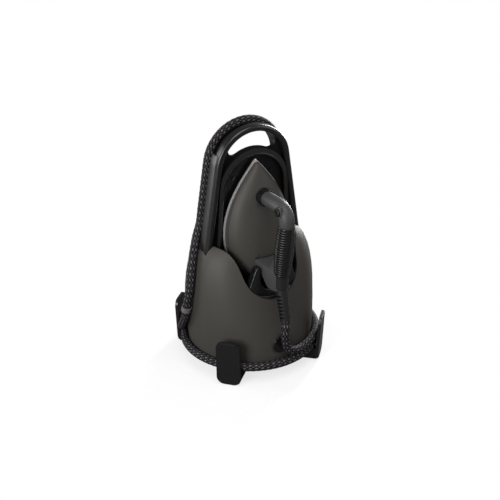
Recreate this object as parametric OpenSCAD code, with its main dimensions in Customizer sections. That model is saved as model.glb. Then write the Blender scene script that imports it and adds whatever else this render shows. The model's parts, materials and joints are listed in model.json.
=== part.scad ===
// Steam ironing station with its iron docked upright and its hose wound round the base.
// Lengths are in millimetres. The station's own axis stands at y = 0 in every module, the front faces
// -Y, and place() then moves each piece so that the middle of the whole box lies on the origin.

/* [Base housing] */
// Half of the housing's width where it meets the chassis
foot_r = 101.5; // [96:0.5:108]
// Height of the housing's lower edge above the table
foot_z = 25; // [24:0.5:27]
// Height of the shoulders, where the housing ends
shoulder_z = 223.5; // [220:0.5:230]
// Half width of the housing at the shoulders
shoulder_w = 79; // [77:0.5:82]
// Depth of the housing on either side of its axis at the shoulders
shoulder_d = 49; // [46:0.5:54]
// Wall of the housing
skin = 2.6; // [2:0.1:3.2]
// Height of the lowest point of the dip in the front
dip_z = 139; // [136:0.5:142]
// Radius of the round bottom of the dip
dip_r = 52; // [50:0.5:53]

/* [Carrying bow] */
// Outer radius of the bow
bow_r = 68.3; // [66:0.1:72]
// Height of the centre of the bow's arc
bow_z = 347.4; // [342:0.1:352]
// Lean of the legs, degrees from upright
bow_lean = 8.4; // [7:0.1:9]
// Thickness of the bow across its arc
bow_t = 11.3; // [10:0.1:12]
// Front face of the bow
bow_front = 16; // [15.5:0.1:18]
// Rear face of the bow
bow_rear = 11.5; // [10:0.1:12.5]
// Depth of the hose groove's floor below the bow's outer edge
groove_in = 9.5; // [8.3:0.1:9.8]
// Width of the hose groove
groove_w = 15.4; // [15:0.1:17]
// Height at which the side rails end
rail_top_z = 375; // [366:1:380]

/* [Iron dock] */
// Rim between the bow's outer edge and the rounded end of the recess
recess_rim = 10.8; // [9.3:0.1:12.3]
// Height of the centre of that end
recess_z = 309.5; // [306:0.1:312]
// Depth of the recess behind its rim
recess_depth = 7; // [6:0.1:8]
// Radius at the ends of the hand opening
hand_end_r = 11; // [9:0.1:12]
// Half width of the gap between the horns of the saddle
notch_w = 23.6; // [23.4:0.1:25]
// Height of the horns
horn_top_z = 197; // [194:0.5:204]

/* [Iron] */
// Half width of the soleplate
sole_w = 59; // [56:0.5:60]
// Height of the tip
tip_z = 361; // [355:0.5:364]
// Height of the heel
heel_z = 156; // [154:0.5:160]
// Thickness of the soleplate
sole_t = 4.5; // [3.5:0.1:5.5]
// Radius of the elbow pipe
elbow_r = 12; // [11.5:0.1:12.5]
// Radius of the bend in the elbow
bend_r = 20; // [18:0.5:24]
// Radius of the grip at its ends
grip_r = 13.2; // [13:0.1:14]
// Extra radius at the middle of the grip
grip_swell = 2.4; // [1.5:0.1:3.5]
// Number of ribs on the grip
grip_ribs = 21; // [15:1:25]

/* [Water tank] */
// Half width of the tank
tank_w = 56; // [50:0.5:58]
// Height of the top of the tank's wall
tank_top_z = 312; // [290:1:316]
// Wall of the tank
tank_wall = 2.2; // [1.8:0.1:3]

/* [Hose] */
// Diameter of the hose
hose_d = 14; // [12:0.1:14.2]
// Radius of the turns round the foot
turn_r = 109.8; // [109.5:0.1:111]

/* [Foot] */
// Height of the cord hooks
hook_h = 81; // [70:0.5:86]
// Width of the cord hooks
hook_w = 41; // [34:0.5:44]
// Thickness of the hook's plate
hook_t = 4.2; // [3.6:0.1:6.5]
// Outward lean of the plate, degrees
hook_lean = 3; // [0:0.5:4]

/* [Hidden] */
$fn = 64;

// Distance from the station's own axis to the middle of its box
axis_y = 10;
// Gap between separate mouldings
fit = 0.3;
// Steps round a moulded curve
arc_step = 7.5;
// Radius of the floor of the hose groove
groove_r = bow_r - groove_in;
// Radius of the rounded end of the recess
recess_r = bow_r - recess_rim;

housing_color = "#4b4743";
frame_color = "#1d1d1f";
rail_color = "#2b2b2e";
charcoal_color = "#2f3033";
rubber_color = "#161617";
metal_color = "#b9bcc0";
brass_color = "#b08d57";
white_color = "#e4e1da";

// ---------- shared geometry ----------

function mix(a, b, t) = a + (b - a) * t;

// Point t of the way along the cubic curve with the four control points p
function curve(p, t) =
    let (s = 1 - t)
    s * s * s * p[0] + 3 * s * s * t * p[1] + 3 * s * t * t * p[2] + t * t * t * p[3];

// Share of the curve p at which its coordinate k has risen to v, found by halving
function share_at(p, k, v, lo = 0, hi = 1, turns = 16) =
    let (mid = (lo + hi) / 2)
    turns == 0 ? mid :
    curve(p, mid)[k] < v ? share_at(p, k, v, mid, hi, turns - 1) : share_at(p, k, v, lo, mid, turns - 1);

// Points on a circle about c, from angle a0 to angle a1
function arc(c, r, a0, a1, n = 12) =
    [for (i = [0 : n]) c + r * [cos(mix(a0, a1, i / n)), sin(mix(a0, a1, i / n))]];

function mirrored(points) = [for (i = [len(points) - 1 : -1 : 0]) [-points[i][0], points[i][1]]];

function unit(v) = v / norm(v);

// A path of plane points moved sideways by d, to the right of its direction
function pushed(path, d) =
    [for (i = [0 : len(path) - 1])
        let (
            a = path[max(i - 1, 0)],
            b = path[min(i + 1, len(path) - 1)],
            u = unit(b - a)
        )
        path[i] + d * [u[1], -u[0]]];

// Moves a piece from the station's axis to the middle of the box
module place() {
    translate([0, axis_y, 0]) children();
}

// Raises a drawing of (x, z) into the upright plane and gives it depth from y0 back to y1
module upright(y0, y1) {
    translate([0, y1, 0]) rotate([90, 0, 0]) linear_extrude(y1 - y0) children();
}

// Draws a shape of (y, z) into the side plane and gives it width from x0 to x1
module sideways(x0, x1) {
    translate([x0, 0, 0]) rotate([90, 0, 90]) linear_extrude(x1 - x0) children();
}

// Closed solid through rings of points, each ring with the same count
module loft(rings) {
    n = len(rings[0]);
    last = len(rings) - 1;
    walls = [for (i = [0 : last - 1], j = [0 : n - 1], k = [0, 1])
        let (a = i * n + j, b = i * n + (j + 1) % n)
        k == 0 ? [a, b + n, b] : [a, a + n, b + n]];
    polyhedron(
        [for (ring = rings) each ring],
        concat(walls, [[for (j = [0 : n - 1]) j]], [[for (j = [n - 1 : -1 : 0]) last * n + j]]),
        convexity = 8
    );
}

// Shell between an outer and an inner sheet of points; columns close on themselves when ring is true
module shell(outer, inner, ring) {
    cols = len(outer);
    rows = len(outer[0]);
    size = cols * rows;
    spans = ring ? cols - 1 : cols - 2;
    faces = [for (i = [0 : spans], j = [0 : rows - 2])
        let (a = i * rows + j, b = ((i + 1) % cols) * rows + j)
        each [[a, b + 1, b], [a, a + 1, b + 1],
            [size + a, size + b, size + b + 1], [size + a, size + b + 1, size + a + 1]]];
    rims = [for (i = [0 : spans])
        let (a = i * rows, b = ((i + 1) % cols) * rows, top = rows - 1)
        each [[a, b, size + b], [a, size + b, size + a],
            [b + top, a + top, size + a + top], [b + top, size + a + top, size + b + top]]];
    end = (cols - 1) * rows;
    ends = ring ? [] : [for (j = [0 : rows - 2])
        each [[j + 1, j, size + j], [j + 1, size + j, size + j + 1],
            [end + j, end + j + 1, size + end + j + 1], [end + j, size + end + j + 1, size + end + j]]];
    polyhedron(
        concat([for (c = outer) each c], [for (c = inner) each c]),
        concat(faces, rims, ends),
        convexity = 8
    );
}

// ---------- base housing ----------

rows = 11;
side_curve = [
    [foot_r, foot_z],
    [foot_r + 11, foot_z + 65],
    [shoulder_w + 38, shoulder_z - 15.5],
    [shoulder_w, shoulder_z]
];
depth_curve = [
    [foot_r, foot_z],
    [foot_r + 8.5, foot_z + 16],
    [shoulder_d + 29, shoulder_z - 15.5],
    [shoulder_d, shoulder_z]
];

// Exponent of the housing's outline: round at the foot, squarer at the shoulders
function squareness(z) = mix(2, 2.45, (z - foot_z) / (shoulder_z - foot_z));

function half_width(z) = curve(side_curve, share_at(side_curve, 1, z))[0];

function half_depth(z) = curve(depth_curve, share_at(depth_curve, 1, z))[0];

// Point of the housing's face at height z and plan angle a, moved inward by inset
function skin_at(a, z, inset = 0) =
    let (
        e = 2 / squareness(z),
        w = half_width(z) - inset,
        d = half_depth(z) - inset
    )
    [sign(cos(a)) * w * pow(abs(cos(a)), e), sign(sin(a)) * d * pow(abs(sin(a)), e), z];

// Plan angle at which the front of the housing passes through (x, z)
function plan_angle(p) =
    let (share = min(abs(p[0]) / half_width(p[1]), 1))
    -acos(sign(p[0]) * pow(share, squareness(p[1]) / 2));

// Edge of the dip in the front, as (x, z), from its lowest point up to the right shoulder
dip_c = [0, dip_z + dip_r];
dip_turn = -22;
dip_end = dip_c + dip_r * [cos(dip_turn), sin(dip_turn)];
flare = [
    dip_end,
    dip_end + 18 * [-sin(dip_turn), cos(dip_turn)],
    [dip_r + 3.5, shoulder_z - 1.5],
    [0.94 * shoulder_w, shoulder_z]
];
right_edge = concat(arc(dip_c, dip_r, -90, dip_turn, 9), [for (i = [1 : 8]) curve(flare, i / 8)]);
left_edge = mirrored(right_edge);
edge = concat(left_edge, [for (i = [1 : len(right_edge) - 1]) right_edge[i]]);

front_angles = [for (p = edge) plan_angle(p)];
last_front = front_angles[len(edge) - 1];
rear_steps = 27;
rear_angles = [for (i = [1 : rear_steps - 1]) mix(last_front, 360 + front_angles[0], i / rear_steps)];
column_angles = concat(front_angles, rear_angles);
column_tops = concat([for (p = edge) p[1]], [for (a = rear_angles) shoulder_z]);

// One sheet of the housing's wall; its upper edge may drop as it goes inward
function housing_sheet(inset, drop) =
    [for (i = [0 : len(column_angles) - 1])
        [for (j = [0 : rows])
            let (s = sin(90 * j / rows))
            skin_at(column_angles[i], mix(foot_z, column_tops[i] - drop * s, s), inset)]];

// Closed solid of the housing's form between two heights
module housing_form(inset, z0, z1, steps = 8) {
    loft([for (i = [0 : steps])
        let (z = mix(z0, z1, i / steps))
        [for (a = [0 : arc_step : 359]) skin_at(a, z, inset)]]);
}

// Outline of the housing's inside at height z
function inside_outline(z, inset) =
    [for (a = [0 : arc_step : 359]) let (p = skin_at(a, z, inset)) [p[0], p[1]]];

frame_drop = 20.5;
frame_top = shoulder_z - frame_drop;
frame_t = 3;
floor_bottom = 23;
button_z = 61.6;
inlet_z = 66;
inlet_r = 8;

module skirt_housing() {
    color(housing_color) place() difference() {
        shell(housing_sheet(0, 0), housing_sheet(skin, 1.5), true);
        bow_cut();
        translate([-tank_w - bay_gap, tank_front - 4, tank_low - bay_gap])
            cube([2 * (tank_w + bay_gap), 100, shoulder_z]);
        translate([0, -half_depth(button_z), button_z]) rotate([90, 0, 0])
            cylinder(r = bezel_r, h = 20, center = true);
        translate([0, half_depth(inlet_z), inlet_z]) rotate([90, 0, 0])
            cylinder(r = inlet_r + fit, h = 20, center = true);
        gland_axis() translate([0, 0, -gland_len]) cylinder(r = gland_r + fit, h = gland_len + 8);
    }
}

// Gap round the water tank in its bay
bay_gap = 0.8;
post_r = 4.5;
post_gap = 1.5;
front_post = [80, -28];
rear_post = [tank_w + bay_gap + post_gap + post_r, 44];
post_spots = [for (spot = [front_post, rear_post], side = [-1, 1]) [side * spot[0], spot[1]]];

module chassis_pan() {
    upstand_r = foot_r - skin - 3 * fit;
    upstand_t = 2.4;
    upstand_z = foot_z + 12;
    boss_r = 6;
    color(frame_color) place() difference() {
        union() {
            rotate_extrude() polygon([
                [0, floor_bottom], [foot_r, floor_bottom], [foot_r, foot_z], [upstand_r, foot_z],
                [upstand_r, upstand_z], [upstand_r - upstand_t, upstand_z], [upstand_r - upstand_t, foot_z],
                [0, foot_z]
            ]);
            for (a = hook_angles) rotate([0, 0, a]) translate([screw_r, 0, foot_z - 1])
                cylinder(r = boss_r, h = 15);
        }
        for (a = hook_angles) rotate([0, 0, a]) translate([screw_r, 0, floor_bottom - 1])
            cylinder(r = screw_shank_r, h = 14);
    }
}

// Plan of the tank where it stands above the shoulders
module tank_outline(grow) {
    intersection() {
        polygon(inside_outline(shoulder_z - 0.2, -grow));
        translate([-tank_w - grow, tank_front - grow]) square([2 * (tank_w + grow), 100]);
    }
}

module top_frame() {
    color(frame_color) place() difference() {
        union() {
            translate([0, 0, frame_top - frame_t]) linear_extrude(frame_t) difference() {
                polygon(inside_outline(frame_top, skin + fit + 1));
                translate([-dip_r - 7, -120]) square([2 * dip_r + 14, 120 - panel_front - 0.4]);
                translate([-100, -140]) square([200, 100]);
                translate([-tank_w - bay_gap, tank_front - 1]) square([2 * (tank_w + bay_gap), 100]);
                translate([-spine_w - fit, -panel_front - fit])
                    square([2 * (spine_w + fit), panel_front - panel_rear + 2 * fit]);
            }
            for (p = post_spots) translate([p[0], p[1], foot_z])
                cylinder(r = post_r, h = frame_top - frame_t - foot_z);
        }
        gland_axis() translate([0, 0, -gland_len - 4]) cylinder(r = spigot_r + 0.1, h = gland_len);
    }
}

// ---------- hooks, feet and screws ----------

// Angles of the hooks from the sideways axis
hook_front = 43;
hook_back = 48;
hook_angles = [hook_front - 180, -hook_front, 180 - hook_back, hook_back];
arm_bottom = 3;
arm_w = 34;
arm_inner = 64;
hook_reach = turn_r + hose_d / 2 + 0.5;
screw_r = 82;
screw_shank_r = 2.1;
screw_head_r = 4;
foot_pad_r = 12;

// Outline of a hook's plate, as (across, height)
function plate_outline(top_r, low_r) =
    let (h = hook_w / 2)
    concat(
        arc([h - low_r, low_r], low_r, -90, 0, 6), arc([h - top_r, hook_h - top_r], top_r, 0, 90, 6),
        arc([top_r - h, hook_h - top_r], top_r, 90, 180, 6), arc([low_r - h, low_r], low_r, 180, 270, 6));

module hook(a) {
    plate_low = 1.2;
    color(frame_color) place() rotate([0, 0, a]) difference() {
        union() {
            translate([hook_reach, 0, plate_low]) rotate([0, hook_lean, 0]) {
                rotate([90, 0, 90]) linear_extrude(hook_t) polygon(plate_outline(11, 13));
                rotate([90, 0, 90]) translate([0, 0, hook_t]) linear_extrude(0.8)
                    translate([0, 1.6]) scale((hook_h - 3.2) / hook_h) polygon(plate_outline(11, 13));
            }
            translate([arm_inner, -arm_w / 2, arm_bottom])
                cube([hook_reach - arm_inner + 2, arm_w, floor_bottom - arm_bottom]);
        }
        translate([screw_r, 0, 0]) cylinder(r = screw_shank_r, h = 40);
        translate([screw_r, 0, 0]) cylinder(r = screw_head_r + 0.4, h = 8);
    }
}

module hook_front_left() {
    hook(hook_angles[0]);
}

module hook_front_right() {
    hook(hook_angles[1]);
}

module hook_rear_left() {
    hook(hook_angles[2]);
}

module hook_rear_right() {
    hook(hook_angles[3]);
}

module rubber_feet() {
    color(rubber_color) place() for (a = hook_angles) rotate([0, 0, a]) translate([turn_r - 8, 0, 0])
        rotate_extrude() polygon([
            [0, 0], [foot_pad_r - 1, 0], [foot_pad_r, 1], [foot_pad_r, arm_bottom], [0, arm_bottom]
        ]);
}

module base_screws() {
    color(metal_color) place() for (a = hook_angles) rotate([0, 0, a]) translate([screw_r, 0, 0]) {
        translate([0, 0, 5.6]) difference() {
            cylinder(r = screw_head_r, h = 2.4);
            translate([0, 0, -1]) cylinder(r = 1.6, h = 2.2, $fn = 6);
        }
        translate([0, 0, 8]) cylinder(r = screw_shank_r, h = 26);
    }
}

// ---------- carrying bow ----------

bar_inner = bow_r - bow_t;
crease_y = -2;
lip_t = 2.6;
channel_rear = bow_rear + groove_w + lip_t;
channel_floor_t = 2;
channel_inner = groove_r - channel_floor_t;
hose_path_r = groove_r + hose_d / 2 + 0.5;
hose_path_y = bow_rear + groove_w / 2;
leg_run = (bow_z + bow_r - frame_top) / cos(bow_lean) + 20;

// Sweeps a section of (radius, y) round the bow from one angle to another
module bow_arc(from, to) {
    translate([0, 0, bow_z]) rotate([90, 0, 0]) mirror([0, 0, 1]) rotate([0, 0, from])
        rotate_extrude(angle = to - from) children();
}

// Everything below the top of the frame, less the given distance
module below_frame(less) {
    span = 400;
    translate([-span / 2, -span / 2, frame_top - less - span]) cube(span);
}

// Sweeps the same section down the right leg as far as the frame
module bow_leg() {
    difference() {
        translate([0, 0, bow_z]) rotate([0, -bow_lean, 0]) translate([0, 0, -leg_run])
            linear_extrude(leg_run) children();
        below_frame(0);
    }
}

module bow_sweep() {
    bow_arc(bow_lean, 180 - bow_lean) children();
    bow_leg() children();
    mirror([1, 0, 0]) bow_leg() children();
}

module bar_section() {
    edge_r = 4.6;
    polygon(concat(
        arc([bow_r - edge_r, edge_r - bow_front], edge_r, 0, -90, 6),
        arc([bar_inner + edge_r, edge_r - bow_front], edge_r, -90, -180, 6),
        [[bar_inner, bow_rear], [groove_r + 1, bow_rear], [bow_r, crease_y]]));
}

rail_proud = 1.5;

module rail_section() {
    slope = (bow_r - groove_r - 1) / (bow_rear - crease_y);
    foot_y = bow_rear - 2;
    polygon([[bow_r, -12], [bow_r + rail_proud, -9], [bow_r + rail_proud, 3.5], [bow_r - 0.8, foot_y + 0.6],
        [groove_r + 1 + 2 * slope, foot_y], [bow_r, crease_y]]);
}

module channel_section() {
    lip_r = groove_r + 5.5;
    edge = 1;
    polygon([
        [channel_inner, bow_rear], [groove_r, bow_rear], [groove_r, channel_rear - lip_t],
        [lip_r, channel_rear - lip_t], [lip_r, channel_rear - edge], [lip_r - edge, channel_rear],
        [channel_inner + edge, channel_rear], [channel_inner, channel_rear - edge]
    ]);
}

// Room for the legs and their channel where they pass through the housing
module bow_cut() {
    room_w = bow_r + rail_proud - channel_inner + 2 * fit;
    room_d = bow_front + channel_rear + 2 * fit;
    difference() {
        for (side = [0, 1]) mirror([side, 0, 0]) translate([0, 0, bow_z]) rotate([0, -bow_lean, 0])
            translate([channel_inner - fit, -bow_front - fit, -leg_run])
                cube([room_w, room_d, leg_run - bow_r]);
        below_frame(fit);
    }
}

module handle_bow() {
    color(frame_color) place() bow_sweep() bar_section();
}

module hose_channel() {
    color(frame_color) place() bow_sweep() channel_section();
}

module side_rail() {
    rail_end = asin((rail_top_z - bow_z) / bow_r);
    bow_arc(bow_lean, rail_end) rail_section();
    bow_leg() rail_section();
}

module side_rail_right() {
    color(rail_color) place() side_rail();
}

module side_rail_left() {
    color(rail_color) place() mirror([1, 0, 0]) side_rail();
}

// ---------- iron dock ----------

panel_front = 8;
panel_rear = 2;
spine_w = 46;
hood_r = recess_r + 5;
hood_z = recess_z + 4.5;
recess_lean = 3.5;
sole_back = bow_front + 0.5;
dock_screw_spot = [34.9, 330.2];

// Half of an arch: from the frame up its leaning side and over its top, as (x, z)
function arch_half(r, z, lean, low) =
    let (x0 = r * cos(lean), z0 = z + r * sin(lean))
    concat([[x0 + (z0 - low) * tan(lean), low]], arc([0, z], r, lean, 90, 14));

function arch(r, z, lean, low) =
    let (half = arch_half(r, z, lean, low))
    concat(half, mirrored([for (i = [0 : len(half) - 2]) half[i]]));

// The hand opening lies between the bow and the hood, with a round at each end
hand_reach = bar_inner - hand_end_r;
hood_reach = hood_r + hand_end_r;
hand_z = (pow(hood_reach, 2) - pow(hand_reach, 2) + pow(bow_z, 2) - pow(hood_z, 2)) / (2 * (bow_z - hood_z));
hand_x = sqrt(hand_reach * hand_reach - (hand_z - bow_z) * (hand_z - bow_z));
bow_side = atan2(hand_z - bow_z, hand_x);
hood_side = atan2(hand_z - hood_z, hand_x);
hand_outline = concat(
    arc([0, bow_z], bar_inner + 1, bow_side, 180 - bow_side, 16),
    arc([-hand_x, hand_z], hand_end_r, 180 - bow_side, 360 - hood_side, 9),
    arc([0, hood_z], hood_r, 180 - hood_side, hood_side, 12),
    arc([hand_x, hand_z], hand_end_r, hood_side - 180, bow_side, 9));

module dock_panel() {
    color(frame_color) place() difference() {
        union() {
            upright(-panel_front, -panel_rear) {
                polygon(arch(bar_inner - 0.1, bow_z, bow_lean, frame_top));
                translate([-spine_w, foot_z]) square([2 * spine_w, frame_top - foot_z + 1]);
            }
            upright(-bow_front, -panel_front) intersection() {
                polygon(arch(hood_r, hood_z, recess_lean, frame_top));
                polygon(arch(bar_inner - 0.1, bow_z, bow_lean, frame_top));
            }
        }
        upright(-bow_front - 1, recess_depth - bow_front)
            polygon(arch(recess_r, recess_z, recess_lean, frame_top - 1));
        upright(-bow_front - 1, 0) polygon(hand_outline);
        for (side = [-1, 1])
            translate([side * dock_screw_spot[0], 0, dock_screw_spot[1]]) rotate([90, 0, 0])
                cylinder(r = 1.6, h = 30);
    }
}

module dock_screws() {
    recess_back = recess_depth - bow_front;
    shank_len = 6;
    color(metal_color) place() for (side = [-1, 1])
        translate([side * dock_screw_spot[0], recess_back, dock_screw_spot[1]]) rotate([90, 0, 0]) {
            cylinder(r = 3, h = 1.4);
            translate([0, 0, -shank_len]) cylinder(r = 1.5, h = shank_len);
        }
}

module column_back() {
    wall = 2.4;
    column_r = bow_r - 18;
    column_z = recess_z - 10;
    column_lean = 1;
    column_rear = channel_rear - 2;
    color(frame_color) place() difference() {
        upright(-panel_rear, column_rear) polygon(arch(column_r, column_z, column_lean, frame_top));
        upright(-panel_rear - 1, column_rear - wall)
            polygon(arch(column_r - wall, column_z, column_lean, frame_top - 1));
    }
}

// ---------- saddle that holds the heel of the iron ----------

liner_gap = 0.5;
liner_t = 2.5;
horn_front = 75.5;
horn_t = 13.5;
horn_seat = 71;

// Upper edge of the right horn, from the valley beside it over its top and down to the middle
horn_edge = concat(
    [[46, 156], [43.5, 164], [39.5, horn_top_z - 21.5], [35.5, horn_top_z - 10.5]],
    arc([notch_w + 4.4, horn_top_z - 4.4], 4.4, 40, 180, 6),
    [[notch_w, 178]],
    arc([0, 158 + notch_w * 0.75], notch_w, -8, -90, 8));

// Depth of the housing's inside in front of the axis at (x, z)
function front_depth(x, z, inset) =
    let (n = squareness(z))
    (half_depth(z) - inset) * pow(1 - pow(min(abs(x) / (half_width(z) - inset), 1), n), 1 / n);

liner_edge = [for (p = edge) if (p[1] < frame_top - 6) p];

// One face of the trough behind the dip, from the dock panel forward to the housing's wall
function liner_sheet(out) =
    [for (p = pushed(liner_edge, out))
        let (wall_y = -front_depth(p[0], p[1], skin + fit + 0.4))
        [[p[0], -panel_front, p[1]], [p[0], wall_y, p[1]]]];

under_horns = [for (p = pushed(liner_edge, liner_gap + 1)) if (abs(p[0]) < 46.5) p];

module saddle_insert() {
    horns = concat(horn_edge, mirrored([for (i = [0 : len(horn_edge) - 2]) horn_edge[i]]));
    rib_x = 14;
    rib_w = 10;
    color(frame_color) place() {
        shell(liner_sheet(liner_gap + liner_t), liner_sheet(liner_gap), false);
        upright(-horn_front, -horn_seat) intersection() {
            polygon(concat(under_horns, horns));
            polygon(concat([[-dip_r, shoulder_z]], pushed(liner_edge, -fit), [[dip_r, shoulder_z]]));
        }
        upright(-horn_seat, horn_t - horn_front) polygon(concat(under_horns, horns));
        for (side = [-1, 1]) translate([side * rib_x - rib_w / 2, -34, dip_z + 1]) cube([rib_w, 22, 12]);
    }
}

module rest_pads() {
    color(rubber_color) place() {
        for (side = [-1, 1], p = [[28, 300], [36, 238]])
            translate([side * p[0], recess_depth - bow_front, p[1]]) rotate([90, 0, 0])
                cylinder(r = 6, h = sole_back - 0.1 - bow_front + recess_depth);
        for (side = [-1, 1]) translate([side * 14 - 5, -34, dip_z + 13]) cube([10, 22, 2.6]);
    }
}

// ---------- boiler and what it works with ----------

boiler_y = -50;
boiler_r = 34;
boiler_low = 38;
boiler_high = 106;
flange_z = 74;
dome = 12;
boiler_wall = 1.8;
terminal_x = 12;
boss_x = 15;
boss_r = 6;
boss_top = 110;

// Half outline of a domed vessel, as (radius, height)
function vessel(r, low, high, d) = concat(
    [[0, low]], [for (a = [-90 : 10 : 0]) [r - d + d * cos(a), low + d + d * sin(a)]],
    [for (a = [0 : 10 : 90]) [r - d + d * cos(a), high - d + d * sin(a)]], [[0, high]]);

module boiler() {
    color(metal_color) place() translate([0, boiler_y, 0]) difference() {
        union() {
            rotate_extrude() polygon(vessel(boiler_r, boiler_low, boiler_high, dome));
            translate([0, 0, flange_z - 2]) cylinder(r = boiler_r + 5, h = 4);
            for (side = [-1, 1]) translate([side * boss_x, 0, boiler_high - 4])
                cylinder(r = boss_r, h = boss_top - boiler_high + 4);
        }
        rotate_extrude() polygon(vessel(
            boiler_r - boiler_wall, boiler_low + boiler_wall, boiler_high - boiler_wall, dome - boiler_wall
        ));
        for (side = [-1, 1]) {
            translate([side * boss_x, 0, boiler_high - 6]) cylinder(r = 3, h = 20);
            translate([side * terminal_x, 0, boiler_low - 1]) cylinder(r = 3.5, h = 6);
        }
    }
}

module boiler_jacket() {
    jacket_low = boiler_low + dome;
    color(white_color) place() translate([0, boiler_y, jacket_low]) difference() {
        cylinder(r = boiler_r + 3, h = flange_z - 2 - jacket_low);
        translate([0, 0, -1]) cylinder(r = boiler_r, h = 40);
    }
}

module boiler_stand() {
    color(metal_color) place() translate([0, boiler_y, foot_z]) difference() {
        cylinder(r = boiler_r - dome, h = boiler_low - foot_z);
        translate([0, 0, -1]) cylinder(r = boiler_r - dome - 5, h = 30);
    }
}

module heating_element() {
    rod_r = 3.3;
    ring_z = boiler_low + 9;
    rod_low = foot_z + 4;
    color(metal_color) place() translate([0, boiler_y, 0]) {
        translate([0, 0, ring_z]) rotate_extrude() translate([terminal_x, 0]) circle(r = rod_r);
        for (side = [-1, 1]) translate([side * terminal_x, 0, rod_low])
            cylinder(r = rod_r, h = ring_z - rod_low);
    }
}

module safety_valve() {
    color(brass_color) place() translate([-boss_x, boiler_y, boss_top]) {
        translate([0, 0, -8]) cylinder(r = 2.95, h = 8);
        cylinder(r = 8, h = 6, $fn = 6);
        translate([0, 0, 6]) cylinder(r = 5.5, h = 12);
        translate([0, 0, 18]) cylinder(r = 3, h = 3);
    }
}

module steam_valve() {
    color(metal_color) place() translate([boss_x, boiler_y, boss_top]) {
        translate([0, 0, -8]) cylinder(r = 2.95, h = 8);
        cylinder(r = 8, h = 4);
        translate([-8, -8, 4]) cube([16, 16, 13]);
        translate([8, 0, 10]) rotate([0, 90, 0]) cylinder(r = 3.5, h = 9);
    }
}

module thermostat() {
    color(white_color) place() translate([0, boiler_y - 15, boiler_high]) {
        cylinder(r = 7, h = 5);
        for (side = [-1, 1]) translate([side * 4 - 1.5, -0.4, 5]) cube([3, 0.8, 7]);
    }
}

pump_x = 70;
pump_z = 62;
pump_r = 16;
pump_len = 40;
pump_y = -20;

module pump() {
    color(metal_color) place() translate([pump_x, pump_y, pump_z]) rotate([-90, 0, 0]) {
        cylinder(r = pump_r, h = pump_len);
        translate([0, 0, -6]) cylinder(r = 5, h = 6);
        translate([0, 0, pump_len]) cylinder(r = 5, h = 8);
    }
}

module pump_mounts() {
    color(rubber_color) place() for (y = [8, pump_len - 16]) difference() {
        translate([pump_x - 12, pump_y + y, foot_z]) cube([24, 8, pump_z - foot_z]);
        translate([pump_x, pump_y, pump_z]) rotate([-90, 0, 0]) cylinder(r = pump_r, h = pump_len);
    }
}

module control_board() {
    board_x = -72;
    color("#2f6b45") place() translate([board_x, -28, foot_z]) {
        cube([1.6, 66, 72]);
        translate([1.6, 8, 40]) cube([15, 18, 22]);
        translate([1.6, 34, 42]) cube([12, 14, 18]);
        translate([1.6, 14, 20]) rotate([0, 90, 0]) cylinder(r = 6, h = 18);
        translate([1.6, 36, 12]) cube([9, 22, 8]);
    }
}

// A direction square to d
function side_axis(d) = unit(cross(d, abs(d[2]) > 0.9 ? [1, 0, 0] : [0, 0, 1]));

function headings(path) =
    let (last = len(path) - 1)
    [for (i = [0 : last]) unit(path[min(i + 1, last)] - path[max(i - 1, 0)])];

// Carries one side direction along the path without twisting
function frames(dirs, i = 0, done = []) =
    i == len(dirs) ? done :
    let (
        last = i == 0 ? side_axis(dirs[0]) : done[i - 1],
        side = unit(last - (last * dirs[i]) * dirs[i])
    )
    frames(dirs, i + 1, concat(done, [side]));

// Rings of points round a path at radius r
function rings_round(path, r, sides) =
    let (dirs = headings(path), across = frames(dirs))
    [for (i = [0 : len(path) - 1]) [for (k = [0 : sides - 1])
        let (a = 360 * k / sides)
        path[i] + r * (cos(a) * across[i] + sin(a) * cross(dirs[i], across[i]))]];

// The same points as one column down the path for each side
function columns_of(rings) = [for (k = [0 : len(rings[0]) - 1]) [for (ring = rings) ring[k]]];

module tube(path, r, sides) {
    loft(rings_round(path, r, sides));
}

outlet_y = 60;
feed_r = 3.5;
feed_path = [
    [0, outlet_y, 82], [0, outlet_y, 72], [4, 62, 64], [16, 66, 58], [34, 64, 56], [46, 54, 57],
    [52, 46, 58.5], [56, 39, 60], [61, 35.4, 61.2], [66, 35.2, pump_z], [69, 33.2, pump_z],
    [pump_x, 30.6, pump_z], [pump_x, pump_y + pump_len + 8, pump_z]
];
steam_r = 3.4;

module feed_tube() {
    color(white_color) place() tube(feed_path, feed_r, 8);
}

module steam_pipe() {
    start = [boss_x + 17, boiler_y, boss_top + 10];
    tip = gland_point(-gland_len);
    color(metal_color) place() tube([start, start + [8, 0, 0], start + [24, 10, 4], tip + [-14, -14, -34],
        tip + [-4, -3, -18], gland_point(-gland_len - 8), tip], steam_r, 8);
}

// ---------- hose gland on the right shoulder ----------

gland_r = 7.3;
spigot_r = 5.5;
gland_len = 24;
gland_drop = 6.5;
gland_z = shoulder_z - gland_drop;

// Point s above the gland's mouth, along the groove of the right leg
function gland_point(s) =
    let (
        x0 = hose_path_r / cos(bow_lean) + (bow_z - gland_z) * tan(bow_lean)
    )
    [x0 - s * sin(bow_lean), hose_path_y, gland_z + s * cos(bow_lean)];

module gland_axis() {
    translate(gland_point(0)) rotate([0, -bow_lean, 0]) children();
}

module hose_gland() {
    color(frame_color) place() difference() {
        union() {
            difference() {
                gland_axis() translate([0, 0, -gland_len]) cylinder(r = gland_r, h = gland_len);
                translate([0, 0, frame_top - 40]) cube([200, 200, 40]);
            }
            gland_axis() translate([0, 0, -gland_len]) cylinder(r = spigot_r, h = gland_len - 2);
        }
        gland_axis() translate([0, 0, -gland_len - 1]) cylinder(r = steam_r + 0.8, h = gland_len + 2);
    }
}

// ---------- mains inlet ----------

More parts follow.
